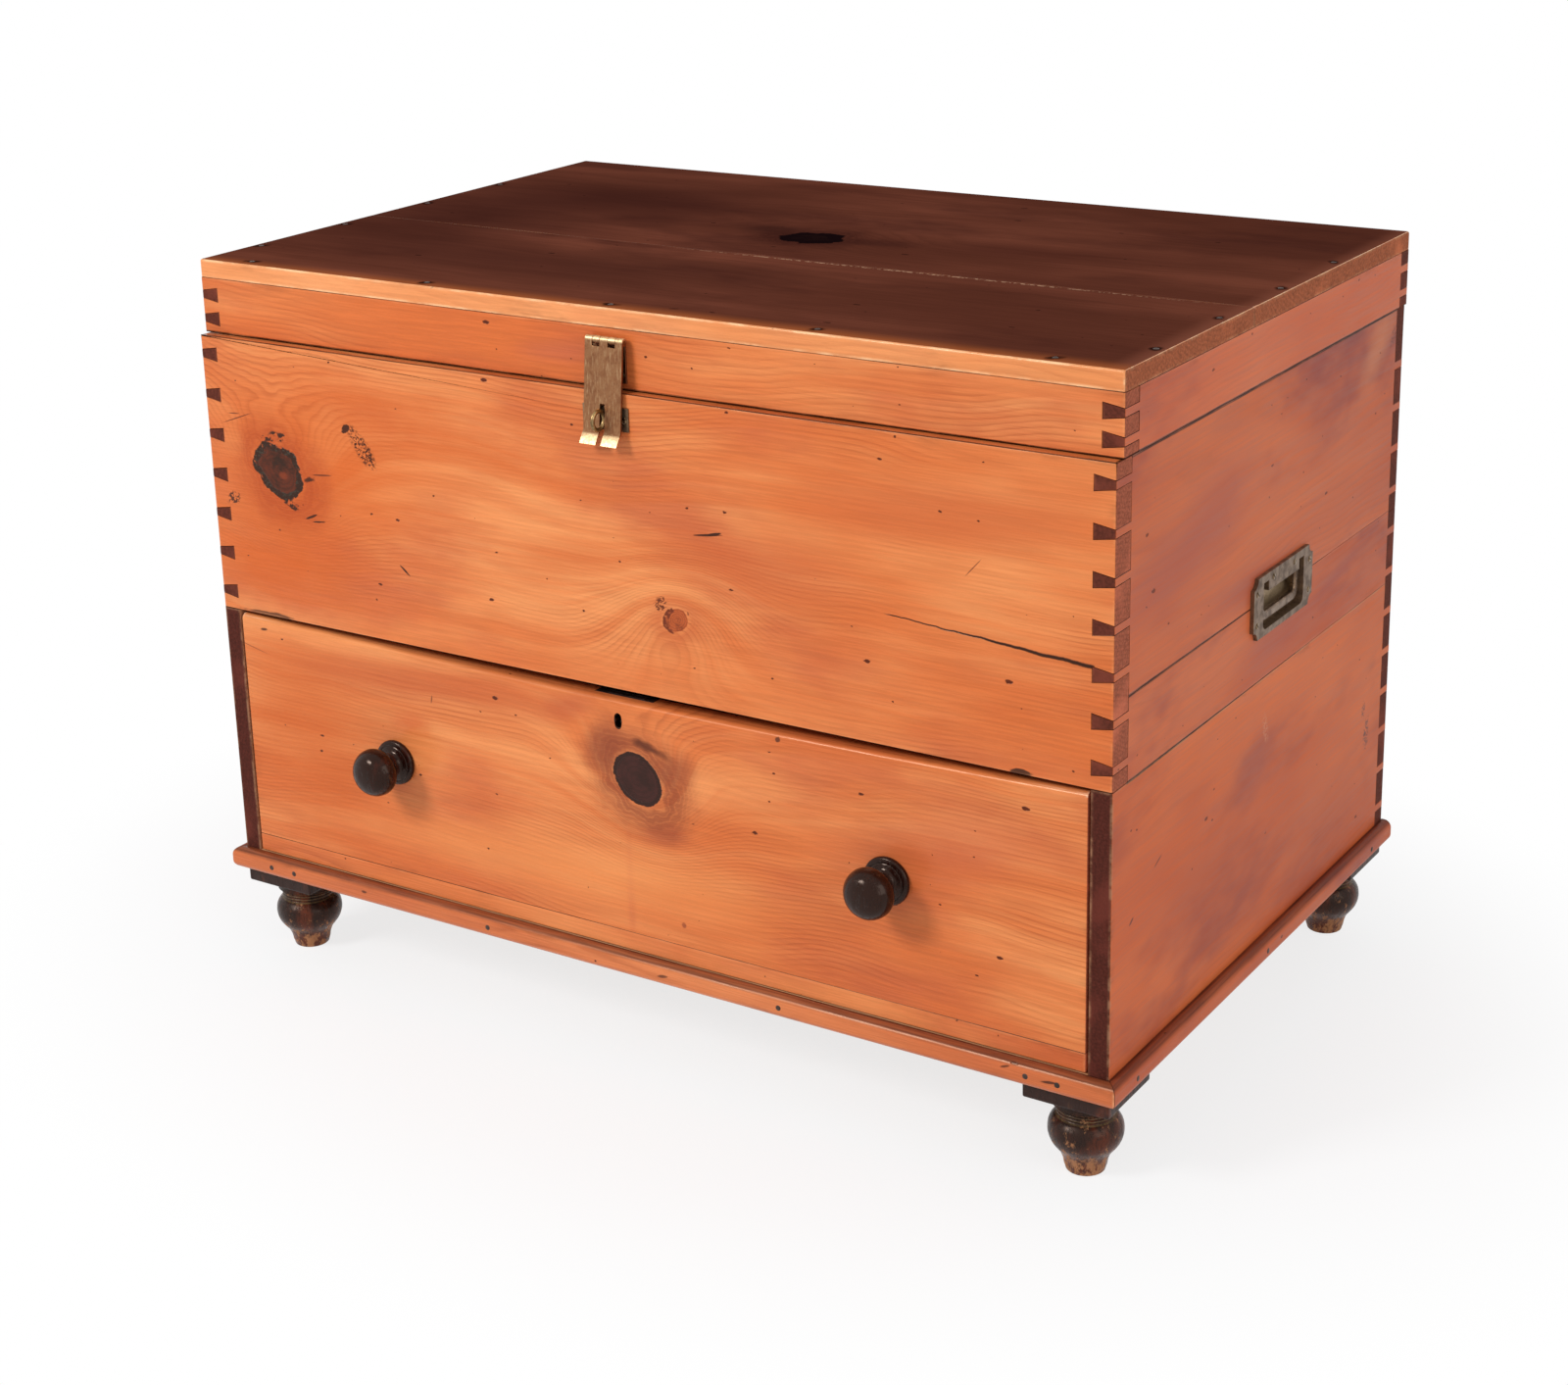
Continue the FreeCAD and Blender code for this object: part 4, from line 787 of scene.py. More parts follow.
@dataclass(frozen=True)
class Metal:
    """Old metal: a ground colour, brown patina and rubbed bright places."""

    name: str
    ground: Colour = (150, 122, 84)
    patina: Colour = (84, 64, 46)
    bright: Colour = (214, 186, 132)
    patina_share: float = 0.8
    bright_from: float = 0.0
    bright_below: float = 0.0
    fade: float = 2.5
    roughness: float = 0.36
    metallic: float = 1.0
    depth: float = 0.06
    # Painted light: with dish set, the sunk dish of a handle is lightened where shade falls.
    dish: float = 0.0
    dish_painted_light: Colour = (180, 155, 120)

    def material(self) -> bpy.types.Material:
        """Builds the finish.

        Returns:
            The material.
        """
        graph = Graph.of(self.name)
        place = graph.place()
        across, _, high = graph.parts(place)
        cloud = graph.noise(place, 95.0, 5, 0.65)
        spots = graph.noise(place, 420.0, 4, 0.7)
        brushed = graph.noise(graph.stretched(place, (900, 900, 30)), 1.0, 3, 0.6)
        colour = graph.coat(display(self.ground), graph.step(cloud, 0.4, 0.64, 0.0, self.patina_share), self.patina)
        colour = graph.coat(colour, graph.step(spots, 0.52, 0.72, 0.0, 0.55), self.patina)
        colour = graph.coat(colour, graph.step(brushed, 0.5, 0.75, 0.0, 0.35), self.bright)
        if self.bright_from:
            upper = graph.step(high, self.bright_from * MM, (self.bright_from + self.fade) * MM)
            lower = graph.step(high, self.bright_below * MM, (self.bright_below + self.fade) * MM, 1.0, 0.0)
            rubbed = graph.most(upper, lower) * graph.step(spots, 0.3, 0.6, 1.0, 0.45)
            colour = graph.coat(colour, rubbed, self.bright)
        # Painted light inside the sunk dish.
        if self.dish:
            dish_painted_light = graph.step(abs(across), self.dish - 0.004, self.dish, 1.0, 0.0)
            colour = graph.coat(colour, dish_painted_light * graph.step(spots, 0.35, 0.6, 1.0, 0.6), self.dish_painted_light)
        rough = graph.step(cloud, 0.35, 0.65, self.roughness - 0.06, self.roughness + 0.14)
        return graph.finish(
            Base_Color=colour, Roughness=rough, Metallic=self.metallic,
            Normal=graph.bump(cloud + spots + brushed * 0.5, self.depth),
        )


IRON = Metal(
    "old_iron", (72, 64, 60), (52, 36, 30), (120, 112, 104), roughness=0.5, metallic=0.85, depth=0.12,
)
NAIL = Metal("nail_iron", (66, 46, 37), (40, 25, 18), (110, 90, 74), roughness=0.5, metallic=0.3, depth=0.12)
HASP = Metal(
    "hasp_brass", (148, 104, 72), (106, 64, 42), (228, 198, 152), 0.6, bright_from=711.0, bright_below=627.0,
)
TRAY = Metal(
    "tray_brass", (118, 92, 68), (74, 54, 40), (148, 126, 96), roughness=0.4, metallic=0.55, dish=0.4965,
)
PLATE = Metal("plate_brass", (132, 110, 86), (84, 64, 50), (170, 150, 120), roughness=0.4, metallic=0.9)
BAIL = Metal("bail_brass", (124, 100, 80), (80, 60, 46), (184, 160, 130), roughness=0.3, metallic=0.9)
SCREW = Metal("screw_brass", (134, 112, 86), (84, 66, 50), (196, 174, 138), roughness=0.3)
STAPLE = Metal("staple_brass", (176, 146, 98), (96, 74, 50), (232, 208, 158), roughness=0.28)


def sharp_edges(bm: bmesh.types.BMesh, angle: float) -> list[bmesh.types.BMEdge]:
    """Returns the outer edges that turn by more than an angle in radians."""
    return [e for e in bm.edges if e.is_manifold and e.is_convex and e.calc_face_angle(0.0) > angle]


def bevel(
    bm: bmesh.types.BMesh, edges: list[bmesh.types.BMEdge], size: float, segments: int,
) -> list[bmesh.types.BMFace]:
    """Rounds edges.

    Args:
        bm: The shape.
        edges: The edges.
        size: The width that is taken off each side, in millimetres.
        segments: How many strips of faces round each edge.

    Returns:
        The new faces.
    """
    made = bmesh.ops.bevel(
        bm, geom=edges, offset=size * MM, offset_type="OFFSET", segments=segments, profile=0.5, affect="EDGES",
        clamp_overlap=False,
    )
    return made["faces"]


def settle(bm: bmesh.types.BMesh, name: str) -> bpy.types.Mesh:
    """Turns an editable shape into a mesh and lets it go.

    Args:
        bm: The shape.
        name: The mesh's name.

    Returns:
        The mesh.
    """
    mesh = bpy.data.meshes.new(name)
    bm.to_mesh(mesh)
    bm.free()
    return mesh


class Shop:
    """Where pieces are made from the frame's nodes and handed to it."""

    def __init__(self) -> None:
        """Starts with no finishes made."""
        self.made: dict[str, bpy.types.Material] = {}

    def material(self, finish: Union[Metal, Ebonised]) -> bpy.types.Material:
        """Builds a finish once.

        Args:
            finish: The metal or stain.

        Returns:
            Its material.
        """
        if finish.name not in self.made:
            self.made[finish.name] = finish.material()
        return self.made[finish.name]

    def show(self, piece: bpy.types.Object, body: str, slot: Slot, nodes: Sequence[str]) -> None:
        """Sets a piece on its body in place of its nodes.

        Args:
            piece: The finished piece.
            body: The body that it moves with.
            slot: Not used.
            nodes: The nodes that it stands for.
        """
        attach(piece, body)
        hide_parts(*nodes)
        LOG.info("%s: %d faces on %s", piece.name, len(piece.data.polygons), body)

    def place(self, mesh: bpy.types.Mesh, name: str, material: bpy.types.Material) -> bpy.types.Object:
        """Makes an object of a mesh, with one material.

        Args:
            mesh: The mesh.
            name: The object's name.
            material: Its material.

        Returns:
            The object, linked to the scene.
        """
        mesh.materials.clear()
        mesh.materials.append(material)
        piece = bpy.data.objects.new(name, mesh)
        bpy.context.scene.collection.objects.link(piece)
        return piece

    def smooth(self, piece: bpy.types.Object, angle: float = HARD_ANGLE) -> bpy.types.Object:
        """Shades a piece smooth up to an angle, with flat faces kept flat.

        Args:
            piece: The piece, with its shape final.
            angle: Edges over this angle stay sharp.

        Returns:
            The same piece, with the shading in a plain mesh.
        """
        rough = piece.data
        rough.shade_smooth()
        rough.set_sharp_from_angle(angle=math.radians(angle))
        piece.modifiers.new("flat_faces", "WEIGHTED_NORMAL").keep_sharp = True
        graph = bpy.context.evaluated_depsgraph_get()
        shaded = piece.evaluated_get(graph)
        plain = bpy.data.meshes.new_from_object(shaded, preserve_all_data_layers=True, depsgraph=graph)
        piece.modifiers.clear()
        piece.data = plain
        bpy.data.meshes.remove(rough)
        return piece

    def joined(self, node: str) -> bmesh.types.BMesh:
        """Copies a node's mesh with its corners joined.

        Args:
            node: The node's name.

        Returns:
            The copy, as an editable mesh.
        """
        bm = bmesh.new()
        bm.from_mesh(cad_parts[node].data)
        bmesh.ops.remove_doubles(bm, verts=bm.verts, dist=TINY)
        return bm

    def solid(self, node: str) -> bmesh.types.BMesh:
        """Copies a node's mesh with its flat faces whole.

        Args:
            node: The node's name.

        Returns:
            The copy, as an editable mesh.
        """
        bm = self.joined(node)
        bmesh.ops.dissolve_limit(bm, angle_limit=0.01, verts=bm.verts, edges=bm.edges)
        return bm

    def plane(self, board: Board) -> bpy.types.Object:
        """Copies a board, rounds its arrises and eases its joint edges.

        Args:
            board: The board.

        Returns:
            The planed board.
        """
        bm = self.solid(board.node)
        corners = zip("-+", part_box(board.node))
        limits = {sign + "xyz"[axis]: (axis, corner[axis]) for sign, corner in corners for axis in range(3)}
        widths = {name: board.faces.get(name, board.arris) for name in limits}
        seam = bm.loops.layers.float.new("seam")

        def width(edge: bmesh.types.BMEdge) -> float:
            """Finds the arris of an edge.

            Args:
                edge: The edge.

            Returns:
                Its width, or 0 where it isn't an outer edge.
            """
            if not edge.is_manifold or not edge.is_convex or edge.calc_face_angle(0.0) < ARRIS_TURN:
                return 0.0
            on = [
                name for name, (axis, limit) in limits.items()
                if all(abs(v.co[axis] - limit) < board.slack * MM for v in edge.verts)
            ]
            return min(widths[name] for name in on) if len(on) > 1 else 0.0

        for size in sorted({w for w in widths.values() if w > 0.5}, reverse=True):
            edges = [e for e in bm.edges if abs(width(e) - size) < TINY]
            if edges:
                bevel(bm, edges, size, 4 if size > WIDE_ARRIS else 3)
        for face in bevel(bm, sharp_edges(bm, JOINT_TURN), JOINT_EASE, 1):
            for loop in face.loops:
                loop[seam] = 1.0
        mesh = settle(bm, board.node)
        piece = self.place(mesh, "planed_" + board.node, BoardShader(board, board.finish).build())
        mesh.materials.append(BoardShader(board, replace(board.finish, gloss=0.1, roughness=0.5), "ends").build())
        if board.flat:
            mesh.materials.append(BoardShader(board, board.flat, "flat").build())
        for face in mesh.polygons:
            if board.flat and face.normal[board.face.value] * board.outward > FACE_ON:
                face.material_index = 2
            elif abs(face.normal[board.grain.value]) > END_ON:
                face.material_index = 1
        return self.smooth(piece)

    def islands(self, node: str) -> list[tuple[Vector, Vector]]:
        """Finds the separate fixings in a node.

        Args:
            node: The node's name.

        Returns:
            The low and high corners of each.
        """
        bm = self.joined(node)
        left, found = set(bm.verts), []
        while left:
            stack, seen = [min(left, key=lambda v: v.index)], set()
            while stack:
                vert = stack.pop()
                if vert not in seen:
                    seen.add(vert)
                    stack.extend(e.other_vert(vert) for e in vert.link_edges)
            left -= seen
            found.append(tuple(Vector([pick(v.co[i] for v in seen) for i in range(3)]) for pick in (min, max)))
        bm.free()
        return found

    def board(self, node: str, grain: Axis, face: Axis, outward: int, *finish: Timber, **details: object) -> None:
        """Planes a board and shows it in place of its node.

        Args:
            node: The node's name.
            grain: The direction of its grain.
            face: The direction that its outer face looks in.
            outward: 1 or -1, for the way that it looks.
            *finish: Its finish, and that of its broad face where it is another one.
            **details: Other fields of the board.
        """
        board = Board(node, grain, face, outward, *finish, **details)
        self.show(self.plane(board), board.body, board.slot, [node])

    def cast(self, node: str, body: str, slot: Slot, finish: Union[Metal, Ebonised], edge: float) -> None:
        """Copies a hard part, rounds its sharp edges a little and shows it.

        Args:
            node: The node's name.
            body: Its body.
            slot: The record's slot.
            finish: Its metal or stain.
            edge: The radius of its edges.
        """
        bm = self.solid(node)
        bevel(bm, sharp_edges(bm, CAST_TURN), edge, 2)
        piece = self.smooth(self.place(settle(bm, node), "dressed_" + node, self.material(finish)))
        self.show(piece, body, slot, [node])

    def paint(self, node: str, finish: Metal) -> None:
        """Gives a node of the frame its finish.

        Args:
            node: The node's name.
            finish: Its metal.
        """
        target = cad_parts[node].data
        target.materials.clear()
        target.materials.append(self.material(finish))
        LOG.info("%s: painted", node)


SIDES = (("left", -1), ("right", 1))


@dataclass
class Case:
    """The dovetailed case, with its floor and base."""

    shop: Shop
    arris: float = 1.5
    eased: float = 1.2
    inner: float = 0.6
    bare: float = 0.8
    seam: float = 0.3

    def front(self) -> None:
        """Builds the wide front board with its knots, cracks and flecks."""
        marks: tuple[Mark, ...] = (
            Knot(-409, 538, 30, 25, -32, core=(90, 34, 17), bark=(40, 15, 8), bark_width=0.17, bark_breaks=0.55,
                 halo=(172, 64, 22), halo_reach=2.8, halo_share=0.75, bloom=(62, 66, 58), swirl=19.0, spread=3.1,
                 ragged=0.34),
            Knot(64, 461, 13, 10, 20, core=(186, 88, 44), bark=(112, 44, 22), bark_width=0.34, bark_breaks=0.9,
                 halo=(186, 84, 44), halo_reach=3.4, halo_share=0.5, swirl=-14.0, spread=5.4, ragged=0.4),
            Split((280, 504), (481, 490), 2.5, 2.4),
            Blot(-404, 534, 6, 4, -20, (150, 60, 26), 0.5, 0.6, 0.5),
            Blot(-318, 592, 5, 4, 40, (66, 24, 10), 1.0, 0.9, 0.2),
            Blot(-299, 576, 27, 10, -52, (66, 24, 10), 1.0, 0.5, 0.3, 380.0),
            Blot(48, 474, 9, 7, 30, (96, 38, 18), 0.95, 0.6, 0.3, 340.0),
            Blot(-371, 496, 9, 1.2, 22, (66, 24, 10), 1.0, 0.9, 0.2),
            Blot(-362, 492, 10, 0.9, 8, (66, 24, 10), 1.0, 0.9, 0.2),
            Blot(-352, 541, 15, 0.9, 6, (96, 40, 22), 0.9, 0.9, 0.3),
            Blot(-370, 534, 9, 3.0, 14, (62, 24, 12), 0.95, 1.2, 0.3),
            Blot(-398, 506, 12, 4.0, -14, (56, 22, 12), 1.0, 1.4, 0.3, 170.0),
            Blot(-412, 571, 20, 6.0, 4, (54, 22, 14), 1.0, 1.4, 0.3, 120.0),
            Blot(-462, 585, 24, 0.6, 20, (84, 36, 24), 0.85, 0.6, 0.3),
            Blot(-464, 590, 8, 0.7, 4, (84, 36, 24), 0.8, 0.6, 0.3),
            Blot(-255, 459, 9, 1.0, -38, (52, 22, 14), 1.0, 0.5, 0.2),
            Blot(101, 547, 17, 1.2, 8, (66, 26, 14), 1.0, 0.5, 0.2),
            Blot(109, 549, 8, 1.3, 14, (52, 20, 12), 1.0, 0.5, 0.2),
            Blot(370, 559, 12, 0.5, 48, (104, 46, 28), 0.8, 0.3, 0.3),
            Blot(-474, 502, 9, 7, 0, (64, 30, 22), 0.95, 1.2, 0.2, 260.0),
            Blot(-440, 384, 34, 3.0, 0, (50, 24, 18), 0.85, 1.2, 0.3),
            Blot(413, 384, 11, 3.4, 0, (52, 26, 18), 0.95, 0.7, 0.2),
            Blot(140, 530, 110, 40, -6, (196, 90, 50), 0.5, 0.6, 0.9),
            # Partly painted shade: this and the next broad orange stain also darken the left half of the front, as
            # the light falls off there.
            Blot(-330, 560, 160, 80, -14, (210, 90, 16), 0.65, 0.6, 0.9),
            Blot(-400, 450, 110, 60, 20, (206, 88, 18), 0.6, 0.7, 0.9),
            Blot(330, 600, 150, 30, 4, (200, 100, 56), 0.45, 0.6, 0.9),
            Blot(-190, 600, 150, 34, -8, (206, 88, 22), 0.55, 0.8, 0.9),
            Blot(-60, 500, 90, 24, 10, (206, 100, 46), 0.4, 0.8, 0.9),
        )
        faces = {"+y": self.inner, "-z": self.eased, "+z": self.eased}
        # Painted shade with dirt: the face over the drawer is darkened, and the ledge under the lid gets dark lines
        # along its edges.
        self.shop.board(
            "case_front_board", Axis.ACROSS, Axis.DEEP, -1, arris=self.arris, faces=faces, heart=(-250, 60),
            turn=3, marks=marks, sooty=("-z",), lined=("+z",),
        )

    def sides(self) -> None:
        """Builds the three edge-jointed boards of each side."""
        # Painted shade: a dark line along the top of the upper boards, just under the lid's rim.
        shade_line_under_lid = Split((900, 665.2), (-302, 665.2), 2.0, 0.3)
        upper_joint = Split((160, 459), (-274, 459), 2.2, 0.3)
        lower_joint = Split((100, 382), (-274, 382), 2.0, 0.3)
        rows: tuple[tuple[str, tuple[float, float], tuple[Mark, ...]], ...] = (
            ("upper", (80, 190), (
                Blot(-150, 560, 150, 46, 12, (160, 80, 72), 0.5, 0.6, 0.9),
                Blot(280, 640, 60, 26, 40, (214, 132, 90), 0.6, 0.6, 0.9),
                Blot(318, 642, 14, 8, 60, (96, 52, 44), 0.6, 0.8, 0.5, 300.0),
                Blot(-20, 480, 130, 20, -4, (158, 78, 68), 0.45, 0.6, 0.9),
                upper_joint, shade_line_under_lid,
            )),
            ("middle", (-60, 170), (
                # Painted shadow below the flush handle.
                Blot(45, 412, 90, 18, 0, (168, 84, 70), 0.5, 0.6, 0.9),
                Blot(180, 430, 80, 10, 10, (156, 80, 74), 0.5, 0.6, 0.9),
                upper_joint, lower_joint,
            )),
            ("lower", (40, 200), (
                Blot(286, 232, 8, 16, 0, (86, 56, 52), 0.85, 0.8, 0.4, 260.0),
                Blot(276, 262, 5, 9, 10, (92, 56, 50), 0.7, 0.9, 0.4, 300.0),
                Blot(20, 330, 6, 16, 20, (206, 138, 104), 0.6, 0.8, 0.5, 300.0),
                Blot(0, 300, 60, 34, 14, (146, 74, 66), 0.45, 0.7, 0.9),
                Blot(-130, 230, 120, 34, 8, (176, 84, 54), 0.4, 0.6, 0.9),
                Blot(180, 180, 120, 50, -6, (172, 84, 58), 0.35, 0.6, 0.9),
                Blot(-210, 286, 9, 1.2, 24, (86, 44, 38), 0.7, 0.5, 0.4),
                Blot(-262, 250, 5, 1.6, 30, (80, 40, 34), 0.8, 0.5, 0.4),
                lower_joint,
            )),
        )
        for side, sign in SIDES:
            for turn, (row, heart, marks) in enumerate(rows):
                faces = {"+x" if sign < 0 else "-x": self.inner, "-y": self.eased, "+y": self.eased}
                faces.update({"-z": self.seam, "+z": self.eased if row == "upper" else self.seam})
                # The upper boards' top faces are darkened with dirt and painted shade.
                self.shop.board(
                    f"side_{side}_{row}_board", Axis.DEEP, Axis.ACROSS, sign, STILE if row == "lower" else SIDE_TONE_AND_SHADE,
                    arris=self.arris, faces=faces, heart=heart, turn=turn * 2 + 5 + sign, closes=(-120, 140),
                    marks=marks, sooty=("+z",) if row == "upper" else (),
                )

    def back(self) -> None:
        """Builds the three back boards."""
        for turn, row in enumerate(("upper", "middle", "lower")):
            faces = {"-y": self.inner, "-z": self.seam, "+z": self.eased if row == "upper" else self.seam}
            marks = (Blot(120 - 160 * turn, 560 - 180 * turn, 90, 30, 4, (158, 78, 60), 0.5, 0.6, 0.9),)
            if row == "middle":
                marks += (Knot(-210, 350, 15, 12, 10, swirl=7.0, spread=3.5),)
            self.shop.board(
                f"back_{row}_board", Axis.ACROSS, Axis.DEEP, 1, SIDE_TONE_AND_SHADE, arris=self.arris, faces=faces,
                heart=(140 - 60 * turn, 90), turn=turn + 11, marks=marks,
            )

    def inside(self) -> None:
        """Builds the floor, its cleats, the base board and the drawer's stops."""
        rows = (
            ("chest_floor", Axis.ACROSS, Axis.UP), ("floor_cleats", Axis.DEEP, Axis.ACROSS),
            ("base_board", Axis.ACROSS, Axis.UP), ("drawer_stops", Axis.UP, Axis.DEEP),
        )
        for turn, (name, grain, face) in enumerate(rows):
            self.shop.board(name, grain, face, 1, BARE, arris=self.bare, turn=turn + 21, slot=Slot.INNER)

    def mouldings(self) -> None:
        """Builds the three lengths of base moulding."""
        marks: tuple[Mark, ...] = (
            Blot(448, 106, 9, 1.4, 8, (66, 30, 22), 0.9, 0.4, 0.4),
            Blot(405, 110, 5, 1.2, 20, (66, 30, 22), 0.8, 0.4, 0.4),
            Blot(-330, 107, 4, 1.6, 0, (66, 30, 22), 0.8, 0.6, 0.4),
            Blot(40, 105, 6, 1.5, 10, (70, 34, 26), 0.8, 0.6, 0.4),
        )
        # The mouldings' top faces are darkened with dirt and painted shade.
        self.shop.board(
            "base_moulding_front", Axis.ACROSS, Axis.DEEP, -1, STRIP, arris=self.seam, turn=31, heart=(8, 90),
            marks=marks, sooty=("+z",),
        )
        for side, sign in SIDES:
            self.shop.board(
                f"base_moulding_{side}", Axis.DEEP, Axis.ACROSS, sign, SIDE_TONE_AND_SHADE, arris=self.seam, turn=33 + sign,
                heart=(6, 80), sooty=("+z",),
            )

    def build(self) -> None:
        """Builds the case."""
        self.front()
        self.sides()
        self.back()
        self.inside()
        self.mouldings()


@dataclass
class Lid:
    """The lid: two boards on a dovetailed rim."""

    shop: Shop
    arris: float = 2.2
    under: float = 0.8
    rim_arris: float = 1.2
    rim_under: float = 0.9
    seam: float = 0.3

    def top(self) -> None:
        """Builds the two top boards."""
        shared: tuple[Mark, ...] = tuple(
            Blot((low.x + high.x) / 2 / MM, (low.y + high.y) / 2 / MM, 9, 6, 10 * k, (34, 15, 12), 0.9, 0.8, 0.6,
                 broad_face_only=True)
            for k, (low, high) in enumerate(self.shop.islands("lid_nails"))
        )
        shared += (
            Blot(-400, 60, 190, 260, 0, (64, 31, 26), 0.7, 0.3, 1.0, broad_face_only=True),
            Blot(506, 0, 21, 900, 0, (134, 78, 60), 0.85, 0.3, 0.9, broad_face_only=True),
        )
        front: tuple[Mark, ...] = (
            Blot(0, -304, 1600, 30, 0, (180, 98, 52), 0.9, 0.3, 0.9, broad_face_only=True),
            Blot(51, -268, 5, 1.6, 20, (44, 20, 16), 0.8, 0.5, 0.4),
            Blot(89, -265, 4, 1.4, -10, (44, 20, 16), 0.8, 0.5, 0.4),
            Blot(150, -41, 290, 1.7, 0, (204, 160, 130), 0.85, 0.8, 0.5, 240.0, True),
            Blot(-220, -160, 260, 90, 4, (68, 34, 28), 0.65, 0.6, 0.9),
        )
        rear: tuple[Mark, ...] = (
            Blot(-72, 82, 52, 26, -8, (50, 25, 23), 0.6, 0.6, 0.9),
            Blot(70, 66, 40, 20, 0, (60, 29, 25), 0.5, 0.6, 0.9),
            Knot(-11, 59, 29, 22, 0, core=(32, 17, 16), bark=(24, 12, 14), bark_width=0.3, bark_breaks=0.2,
                 halo=(58, 27, 23), halo_reach=2.8, halo_share=0.75, swirl=7.0, spread=3.4, ragged=0.5),
            Blot(-250, 150, 160, 90, 6, (66, 32, 27), 0.6, 0.6, 0.9),
            Blot(220, 90, 120, 40, 6, (78, 38, 30), 0.5, 0.6, 0.9),
        )
        rows = (("front", "+y", front, (60, 120), 41), ("rear", "-y", rear, (-30, 140), 47))
        for name, joined, marks, heart, turn in rows:
            self.shop.board(
                f"lid_{name}_board", Axis.ACROSS, Axis.UP, 1, LID_EDGE, LID_TOP, arris=self.arris,
                faces={joined: self.seam, "-z": self.under}, heart=heart, turn=turn, marks=shared + marks, body="lid",
            )

    def rim(self) -> None:
        """Builds the four dovetailed rim boards."""
        rows = (
            ("front", Axis.ACROSS, Axis.DEEP, -1, POLISHED), ("back", Axis.ACROSS, Axis.DEEP, 1, SIDE_TONE_AND_SHADE),
            ("left", Axis.DEEP, Axis.ACROSS, -1, LID_SIDE_TONE_AND_SHADE), ("right", Axis.DEEP, Axis.ACROSS, 1, LID_SIDE_TONE_AND_SHADE),
        )
        for turn, (side, grain, face, sign, finish) in enumerate(rows):
            # Painted shade: a dark line along the rim's lower edge and darkened under-faces, where the gap under the
            # lid is; the under-faces also carry dirt.
            marks: tuple[Mark, ...] = (
                Split((1800, 667.5), (-505, 667.5), 1.4, 0.3),
                Blot(-60 + 140 * turn, 694, 60, 12, 4, (190, 96, 70), 0.5, 0.6, 0.9),
            )
            self.shop.board(
                f"lid_rim_{side}", grain, face, sign, finish, arris=self.rim_arris,
                faces={"+z": self.seam, "-z": self.rim_under}, heart=(90, 60), turn=turn + 51, marks=marks,
                body="lid", sooty=("-z",),
            )

    def build(self) -> None:
        """Builds the lid."""
        self.top()
        self.rim()


@dataclass
class Turning:
    """A lathe, which turns a profile of radius and place along its axis."""

    shop: Shop
    steps: int = 56
    smoothing: int = 4

    def curve(self, points: Profile) -> list[tuple[float, float]]:
        """Runs a smooth line through the profile, with a corner where a point is doubled.

        Args:
            points: Radius and place of each point.

        Returns:
            The finer profile.
        """
        runs: list[list[tuple[float, float]]] = [[points[0]]]
        for before, after in zip(points, points[1:]):
            if before == after:
                runs.append([after])
            else:
                runs[-1].append(after)
        fine: list[tuple[float, float]] = []
        for run in runs:
            for i in range(len(run) - 1):
                near = list(zip(run[max(i - 1, 0)], run[i], run[i + 1], run[min(i + 2, len(run) - 1)]))
                for k in range(self.smoothing):
                    t = k / self.smoothing
                    fine.append(tuple(
                        0.5 * (2 * b + (c - a) * t + (2 * a - 5 * b + 4 * c - d) * t * t
                               + (3 * b - a - 3 * c + d) * t ** 3)
                        for a, b, c, d in near
                    ))
            fine.append(run[-1])
        return fine

    def mesh(self, name: str, points: Profile, centre: Vector, axis: Vector) -> bpy.types.Mesh:
        """Turns the profile about an axis.

        Args:
            name: The mesh's name.
            points: The profile, from one pole to the other.
            centre: Where the profile's zero lies, in metres.
            axis: The direction of the axis.

        Returns:
            A closed mesh.
        """
        side = axis.orthogonal().normalized()
        other = axis.cross(side)
        angles = [2 * math.pi * k / self.steps for k in range(self.steps)]
        bm = bmesh.new()
        rings = []
        for radius, place in self.curve(points):
            hub = centre + axis * place * MM
            if radius < 1e-3:
                rings.append([bm.verts.new(hub)])
                continue
            spokes = [side * math.cos(a) + other * math.sin(a) for a in angles]
            rings.append([bm.verts.new(hub + spoke * radius * MM) for spoke in spokes])
        for low, high in zip(rings, rings[1:]):
            if len(low) == 1 and len(high) == 1:
                continue
            for k in range(self.steps):
                at, after = k, k + 1
                corners = [low[at % len(low)], low[after % len(low)], high[after % len(high)], high[at % len(high)]]
                bm.faces.new(list(dict.fromkeys(corners)))
        bmesh.ops.recalc_face_normals(bm, faces=bm.faces)
        return settle(bm, name)

    def turn(
        self, node: str, body: str, points: Profile, base: Sequence[float], axis: Vector, finish: Ebonised,
    ) -> None:
        """Turns a piece and shows it in place of its node.

        Args:
            node: The node's name.
            body: Its body.
            points: Its profile.
            base: Where the profile's zero lies, in metres.
            axis: The direction of the axis.
            finish: Its stain.
        """
        mesh = self.mesh(node, points, Vector(base), axis)
        piece = self.shop.smooth(self.shop.place(mesh, "turned_" + node, self.shop.material(finish)), SOFT_ANGLE)
        self.shop.show(piece, body, Slot.EBONISED, [node])


